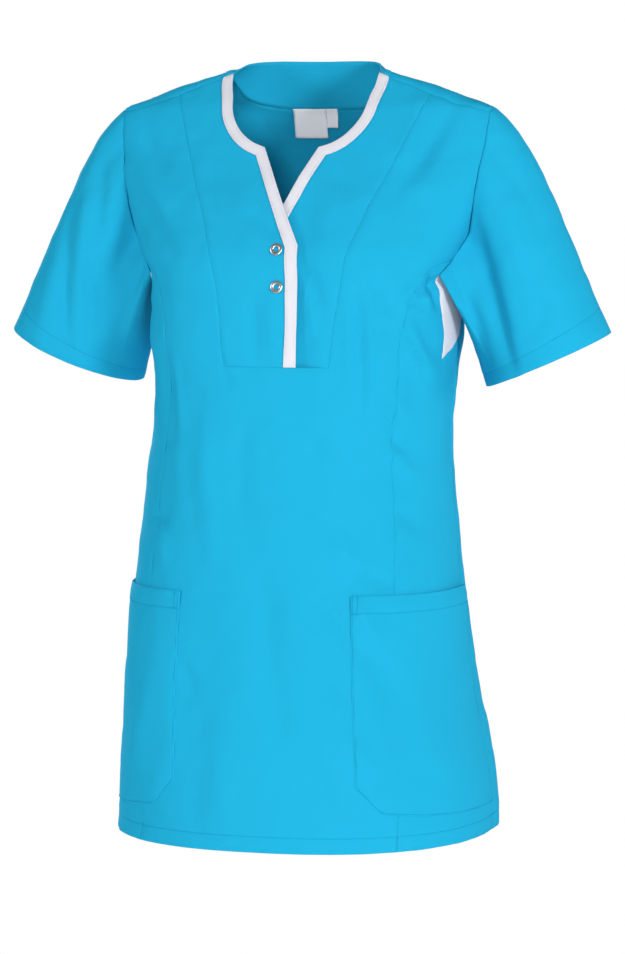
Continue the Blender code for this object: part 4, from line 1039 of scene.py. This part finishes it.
def sleeve_surface(s, which):
    """Rows of points round a sleeve, as if on the wearer's left, and their turns."""
    loop = np.concatenate([s["armhole_front"][::-1], s["armhole_front_foot"][1:],
                           s["underarm"][1:], s["armhole_back_foot"][1:],
                           s["armhole_back"][1:-1]])
    start = cloth(*loop.T)
    length = run_along(np.concatenate([start, start[:1]]))
    lowest = length[np.argmin(start[:, 2])]
    turn = np.interp(length[:-1], (0, lowest, length[-1]), (0, np.pi, 2 * np.pi))
    spoke = unit((start - start.mean(axis=0)) * np.array([0.0, 1.0, 1.0]))
    leave = unit(SLEEVE_SPREAD * spoke + np.array(SLEEVE_LEAVE)
                 + SLEEVE_CAP * spoke[:, 2:] * np.array([1.0, 0.0, 0.0]))
    start = start + leave * SEAM_GAP / 2
    centre, out, front = (np.array(CUFF[key]) for key in ("centre", "out", "front"))
    spread_out = np.cos(turn)[:, None] * out + np.sin(turn)[:, None] * front
    end = centre + spread_out
    arrive = np.array(SLEEVE_FLARE) + SLEEVE_OPEN * spread_out / np.linalg.norm(out)
    reach = np.linalg.norm(end - start, axis=1, keepdims=True)
    knots = (start, start + leave * reach * SLEEVE_PULL[0],
             end - arrive * reach * SLEEVE_PULL[1], end)
    hem, dip = 1 - HEM_BAND / reach.mean(), STITCH_DIP_HALF / reach.mean()
    t = np.concatenate([np.linspace(0, hem - dip, SLEEVE_CELLS[0]), [hem],
                        np.linspace(hem + dip, 1, SLEEVE_CELLS[1])])[:, None, None]
    weights = ((1 - t)**3, 3 * t * (1 - t)**2, 3 * t * t * (1 - t), t**3)
    rows = sum(weight * knot for weight, knot in zip(weights, knots))
    normals = sleeve_normals(rows)
    return rows + normals * sleeve_fold_height(which, rows, normals)[..., None], turn


def sleeve_normals(rows):
    """Outward normals of a sleeve given as rows of points round it."""
    round_it = np.roll(rows, -1, axis=1) - np.roll(rows, 1, axis=1)
    return unit(np.cross(round_it, np.gradient(rows, axis=0)))


def sleeve_fold_height(which, rows, normals):
    """Height of the folds, creases and swells over a sleeve."""
    x, z, forward = rows[..., 0], rows[..., 2], -normals[..., 1]
    height = unevenness(x + (which == "right") * SWELL_BACK, z)
    for (sleeve, side), folds in SLEEVE_FOLDS.items():
        if sleeve in (which, "both"):
            height += raised(folds, x, z, forward if side == "front" else -forward)
    return height * step(np.arange(len(rows)) / len(rows) / SLEEVE_RISE)[:, None]


def make_sleeve(node, surface, side, material):
    """A sleeve as a closed wall; its mirror image where side is -1."""
    rows, turn = surface
    count, hem_row = len(turn), SLEEVE_CELLS[0]
    girths = np.linalg.norm(np.diff(rows, axis=1, append=rows[:, :1]), axis=2).sum(axis=1)
    lengths = np.linalg.norm(np.diff(rows, axis=0), axis=2).mean(axis=1)
    lengths = np.concatenate([[0], np.cumsum(lengths)])
    uv = paired(turn / (2 * np.pi) * girths.mean(), lengths[:, None]).reshape(-1, 2)
    faces = tube(len(rows), count)[:, ::side].tolist()
    places, normals = (part.reshape(-1, 3) * np.array([side, 1.0, 1.0])
                       for part in (rows, sleeve_normals(rows)))
    row = np.repeat(np.arange(len(rows)), count)
    relief = lambda gap, run: groove(lengths - lengths[hem_row])[row] + np.where(
        row < hem_row // 2, seam_relief(gap, run), puckers(gap, run, EDGE_PUCKER))
    wall = np.where(row >= hem_row, HEM_CLOTH, CLOTH)
    return shell(node, places, normals, relief, wall, faces, lambda _: uv, material)


def collar_surface(s):
    """Rows of points of the stand band, from its seam up, and their normals."""
    seam = cloth(*s["neck"].T)
    top = smooth_path(COLLAR_TOP)
    length = run_along(top)
    free = picked(top, length, np.linspace(0, length[-1], len(seam)))
    lines = []
    for line in (seam, free):
        line[0, 1] += COLLAR_END_CLEAR
        lines.append(np.concatenate([line, line[::-1][1:] * np.array([-1.0, 1.0, 1.0])]))
    seam, free = lines
    seam = seam - COLLAR_TUCK * unit(free - seam)
    share = np.linspace(0, 1, CELLS["collar"] + 1)[:, None, None]
    rows = between(seam, free, share)
    normals = unit(np.cross(np.gradient(rows, axis=1), np.gradient(rows, axis=0)))
    return rows + normals * (COLLAR_SWELL * 4 * share * (1 - share)), normals


def make_collar(s, material):
    """The turquoise band that stands up behind the neck."""
    rows, normals = collar_surface(s)
    faces = quads(numbered(*rows.shape[:2])).tolist()
    relief = lambda gap, run: groove(gap - TOPSTITCH) + puckers(gap, run, EDGE_PUCKER)
    return shell("collar", rows.reshape(-1, 3), normals.reshape(-1, 3), relief,
                 np.full(rows[..., 0].size, COLLAR_CLOTH), faces,
                 lambda places: places[:, ::2], material)


def make_label(node, size, material):
    """A small woven tag that hangs inside from the back neck seam."""
    share = np.linspace(0, 1, CELLS["tag"] + 1)
    x = size["centre"] + size["width"] * (share - 0.5)
    z = TAG_TOP_Z - size["height"] * share[::-1, None]
    grid = paired(angle_at(x, z, True) % (2 * np.pi), z)[:, ::-1]
    depth = lambda angle, z: -between(*TAG_DEPTH, step((TAG_TOP_Z - z) / LABEL["height"]))
    return panel(node, [grid], material, depth, level(TAG_CLOTH), level(0.0))


# ----------------------------------------------------------- stitches and snaps
def thread(path, lift):
    """Places and normals along a dense (angle, z) path at a height over the cloth."""
    angle, z = path.T
    normals = outward(cloth, angle, z)
    return cloth(angle, z) + normals * lift(angle, z)[:, None], normals


def sew(name, lines, material):
    """One mesh of short bowed stitches along several lines of (places, normals)."""
    rings, sides = len(STITCH_BOW), STITCH_SIDES
    turn = turns(sides)[:, None]
    one = tube(rings, sides).tolist() + [list(range(sides))[::-1],
                                         list(range((rings - 1) * sides, rings * sides))]
    points = []
    for places, normals in lines:
        length = run_along(places)
        count = max(1, int(length[-1] / STITCH["pitch"]))
        pitch = length[-1] / count
        at = (np.arange(count)[:, None] * pitch + STITCH["gap"] / 2
              + np.linspace(0, pitch - STITCH["gap"], rings)[None])
        place, normal = (picked(part, length, at) for part in (places, normals))
        aside = unit(np.cross(unit(place[:, -1:] - place[:, :1]), normal))
        middle = place + normal * np.array(STITCH_BOW)[:, None]
        ring = np.cos(turn) * aside[..., None, :] + np.sin(turn) * normal[..., None, :]
        points.append((middle[..., None, :] + ring * STITCH["radius"]).reshape(-1, 3))
    points = np.concatenate(points)
    faces = [[k + first for k in face]
             for first in range(0, len(points), rings * sides) for face in one]
    return add(name, points, faces, material)


def cuff_thread(surface, side):
    """The line that a sleeve's hem is stitched along."""
    rows, at = surface[0], SLEEVE_CELLS[0]
    normal = sleeve_normals(rows)[at]
    lines = np.stack([rows[at] - normal * STITCH_DIP, normal]) * np.array([side, 1.0, 1.0])
    return [np.concatenate([line, line[:1]]) for line in lines]


def make_stitches(s, low, sleeves, blue, white):
    """Every visible line of stitches."""
    around = np.linspace(-np.pi, np.pi, HEM_POINTS)
    lines = [thread(paired(around, HEM_Z + HEM_BAND), body_hem)]
    inner = column_line(from_view(POCKET_INNER))
    across = np.linspace(float(inner(POCKET_FOLD_Z)), np.pi / 2, POCKET_POINTS)
    first, last = POCKET_ROWS
    foot = np.concatenate([low["flank"][first, ::-1], low["side"][first, ::-1][1:],
                           low["arm"][first, ::-1][1:]]) + np.array([0.0, POCKET_STITCH])
    x, z = to_view(low["arm"][first + 1:last + 1, 0]).T
    up = spots(x + POCKET_STITCH, z)
    corner = up[up[:, 1] > foot[-1, 1]]
    edge = spaced(np.concatenate([foot[foot[:, 0] > corner[0, 0]], corner]), POCKET_POINTS)
    high = np.linspace(POCKET_FOLD_Z, POCKET_TOP_Z - BAR_CLEAR, BAR_POINTS)
    bar = spots(across_at(inner(high), high) + BAR, high)
    edge_depth = pocket_swell(POCKET_STITCH) - POCKET_DIP * STITCH_DIP
    for path, depth in ((paired(across, POCKET_FOLD_Z), 0.0), (edge, edge_depth),
                        (bar, pocket_swell(BAR))):
        lift = lambda angle, z: pocket_lift(angle, z) + depth
        lines += [thread(path, lift), thread(mirrored(path), lift)]
    lines += [cuff_thread(sleeves["left"], 1), cuff_thread(sleeves["right"], -1)]
    sew("stitches_turquoise", lines, blue)
    height = SEAM_GAP + TRIM_CLOTH + TRIM_CROWN - STITCH_DIP
    lines = []
    for share in (TRIM_STITCH / TRIM_WIDTH, 1 - TRIM_STITCH / TRIM_WIDTH):
        path = between(s["edge"], s["trim"], share)
        lines.append(thread(mirrored(path), level(height)))
        lines.append(thread(path, lambda angle, z: height + under_drop(angle, z)))
    sew("stitches_white", lines, white)


def make_snap(node, z, material):
    """A press stud: a rounded open ring on the centre line."""
    place, normal = cloth(0.0, z), outward(cloth, np.array(0.0), np.array(z))
    side = np.array([1.0, 0.0, 0.0])
    side = unit(side - normal * (side @ normal))
    turn, profile = turns(SNAP_RING)[:, None], turns(SNAP_ROUND)[:, None, None]
    spokes = np.cos(turn) * side + np.sin(turn) * np.cross(normal, side)
    radius = (SNAP_OUTER + SNAP_INNER) / 2 + (SNAP_OUTER - SNAP_INNER) / 2 * np.cos(profile)
    height = SNAP_CLEAR + SNAP_RISE * (1 + np.sin(profile))
    points = (place + spokes * radius + normal * height).reshape(-1, 3)
    piece = add(node + "_ring", points, tube(SNAP_ROUND, SNAP_RING, True).tolist(), material)
    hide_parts(node)
    return piece


# -------------------------------------------------------------------- materials
def new_material(name, metallic=0.0, sheen=0.0):
    """A material and its shader, with the colour and roughness of its finish."""
    _, colour, roughness = FINISHES[name]
    material = bpy.data.materials.new(name)
    material.use_nodes = True
    shader = material.node_tree.nodes["Principled BSDF"]
    for key, value in (("Base Color", (*colour, 1.0)), ("Roughness", roughness),
                       ("Metallic", metallic), ("Sheen Weight", sheen),
                       ("Sheen Roughness", SHEEN_ROUGH),
                       ("Specular IOR Level", METAL_GLOSS if metallic else CLOTH_GLOSS)):
        shader.inputs[key].default_value = value
    return material, shader


def node(material, kind, *by_place, **by_name):
    """A new shader node; a value that is another node's socket is linked."""
    made = material.node_tree.nodes.new("ShaderNode" + kind)
    for key, value in (*by_name.items(), *enumerate(by_place)):
        if isinstance(key, str) and key not in made.inputs:
            setattr(made, key, value)
        elif isinstance(value, bpy.types.NodeSocket):
            material.node_tree.links.new(value, made.inputs[key])
        else:
            made.inputs[key].default_value = value
    return made


def emboss(material, shader, *layers):
    """Bumps on the shader, one over another.  Each: height, strength, depth."""
    below = {}
    for height, strength, depth in layers:
        made = node(material, "Bump", Height=height, Strength=strength, Distance=depth, **below)
        below = {"Normal": made.outputs["Normal"]}
    material.node_tree.links.new(below["Normal"], shader.inputs["Normal"])
    return material


def twill(name, variation, weave=1.0):
    """Matte cotton and polyester twill: diagonal ribs, slubs and a faint unevenness."""
    material, shader = new_material(name)
    uv = node(material, "UVMap", uv_map="weave").outputs["UV"]
    place = node(material, "TexCoord").outputs["Object"]
    ribs = node(material, "TexWave", bands_direction="DIAGONAL", Vector=uv,
                **RIBS).outputs["Fac"]
    slubs = node(material, "TexNoise", Vector=uv, **SLUBS).outputs["Fac"]
    clouds = node(material, "TexNoise", Vector=place, **CLOUDS).outputs["Fac"]
    half = node(material, "Math", clouds, 0.5, operation="MULTIPLY").outputs[0]
    both = node(material, "Math", slubs, 0.5, half, operation="MULTIPLY_ADD").outputs[0]
    dark, light = ((*[min(1.0, c * share) for c in FINISHES[name][1]], 1.0)
                   for share in (1 - variation, 1 + variation))
    mix = node(material, "Mix", data_type="RGBA", A=dark, B=light, Factor=both)
    material.node_tree.links.new(mix.outputs["Result"], shader.inputs["Base Color"])
    return emboss(material, shader, (ribs, RIB_BUMP[0] * weave, RIB_BUMP[1]),
                  (slubs, SLUB_BUMP[0] * weave, SLUB_BUMP[1]))


def satin(name):
    """Woven tape of the tags: fine level ribs and a soft gloss."""
    material, shader = new_material(name, sheen=TAPE_SHEEN)
    uv = node(material, "UVMap", uv_map="weave").outputs["UV"]
    ribs = node(material, "TexWave", bands_direction="Y", Vector=uv, **TAPE_RIBS)
    return emboss(material, shader, (ribs.outputs["Fac"], *TAPE_BUMP))


def ring_metal(name):
    """Satin metal of the snaps, with fine scratches."""
    material, shader = new_material(name, metallic=1.0)
    place = node(material, "TexCoord").outputs["Object"]
    noise = node(material, "TexNoise", Vector=place, **SCRATCHES)
    return emboss(material, shader, (noise.outputs["Fac"], *SCRATCH_BUMP))


# --------------------------------------------------------------- studio, camera
def placed(name, data):
    """A new object in the scene."""
    thing = bpy.data.objects.new(name, data)
    bpy.context.scene.collection.objects.link(thing)
    return thing


def aimed(name, data, place, aim):
    """A light or the camera at a place, looking at its aim."""
    thing = placed(name, data)
    thing.location = place
    thing.rotation_euler = (Vector(aim) - Vector(place)).to_track_quat("-Z", "Y").to_euler()
    return thing


def make_studio():
    """The white surroundings, the lights and the floor."""
    world = bpy.data.worlds.new("studio")
    bpy.context.scene.world = world
    world.use_nodes = True
    back = world.node_tree.nodes["Background"]
    back.inputs["Color"].default_value = (1.0, 1.0, 1.0, 1.0)
    seen = node(world, "LightPath").outputs["Is Camera Ray"]
    strength = node(world, "Math", seen, 1.0 - AMBIENT, AMBIENT, operation="MULTIPLY_ADD")
    world.node_tree.links.new(strength.outputs["Value"], back.inputs["Strength"])
    for name, place, aim, size, watts in LIGHTS:
        light = bpy.data.lights.new(name, "AREA")
        light.shape, light.size, light.energy = "DISK", size, watts
        aimed(name, light, place, aim)
    mesh = bpy.data.meshes.new("floor")
    rim = [(FLOOR_RADIUS * math.cos(a), FLOOR_RADIUS * math.sin(a), FLOOR_Z)
           for a in turns(FLOOR_SIDES)]
    mesh.from_pydata(rim, [], [tuple(range(FLOOR_SIDES))])
    mesh.materials.append(new_material("floor_white")[0])
    placed("floor", mesh)


def make_camera():
    """The camera of the photograph, level with the collarbone."""
    turn = math.radians(CAMERA["azimuth"])
    away = Vector((math.sin(turn), -math.cos(turn), 0.0)) * CAMERA["distance"]
    place = away + Vector((0.0, 0.0, CAMERA["z"]))
    side = Vector((math.cos(turn), math.sin(turn), 0.0))
    aim = side * CAMERA["aim_right"] + Vector((0.0, 0.0, CAMERA["aim_z"]))
    data = bpy.data.cameras.new("camera")
    data.sensor_fit = "AUTO"
    data.sensor_width = CAMERA["sensor"]
    data.lens = CAMERA["sensor"] * (aim - place).length / CAMERA["height"]
    bpy.context.scene.camera = aimed("camera", data, place, aim)


# ------------------------------------------------------------------------- build
bpy.context.scene.view_settings.view_transform = "Standard"
make_camera()
make_studio()
TURQUOISE = twill("twill_turquoise", variation=0.05)
WHITE = twill("twill_white", variation=0.02, weave=0.7)
METAL = ring_metal("snap_metal_satin")
TAG = satin("tag_satin")
THREAD, THREAD_WHITE = (new_material(name)[0] for name in ("thread_turquoise", "thread_white"))

SEAMS = seams()
LOW = make_body(SEAMS, TURQUOISE, WHITE)
SLEEVES = {which: sleeve_surface(SEAMS, which) for which in ("left", "right")}
make_sleeve("sleeve_left", SLEEVES["left"], 1, TURQUOISE)
make_sleeve("sleeve_right", SLEEVES["right"], -1, TURQUOISE)
make_collar(SEAMS, TURQUOISE)
make_snap("snap_upper", SNAP_Z[0], METAL)
make_snap("snap_lower", SNAP_Z[1], METAL)
make_label("label", LABEL, TAG)
make_label("size_tag", SIZE_TAG, TAG)
make_stitches(SEAMS, LOW, SLEEVES, THREAD, THREAD_WHITE)

bpy.context.view_layer.update()
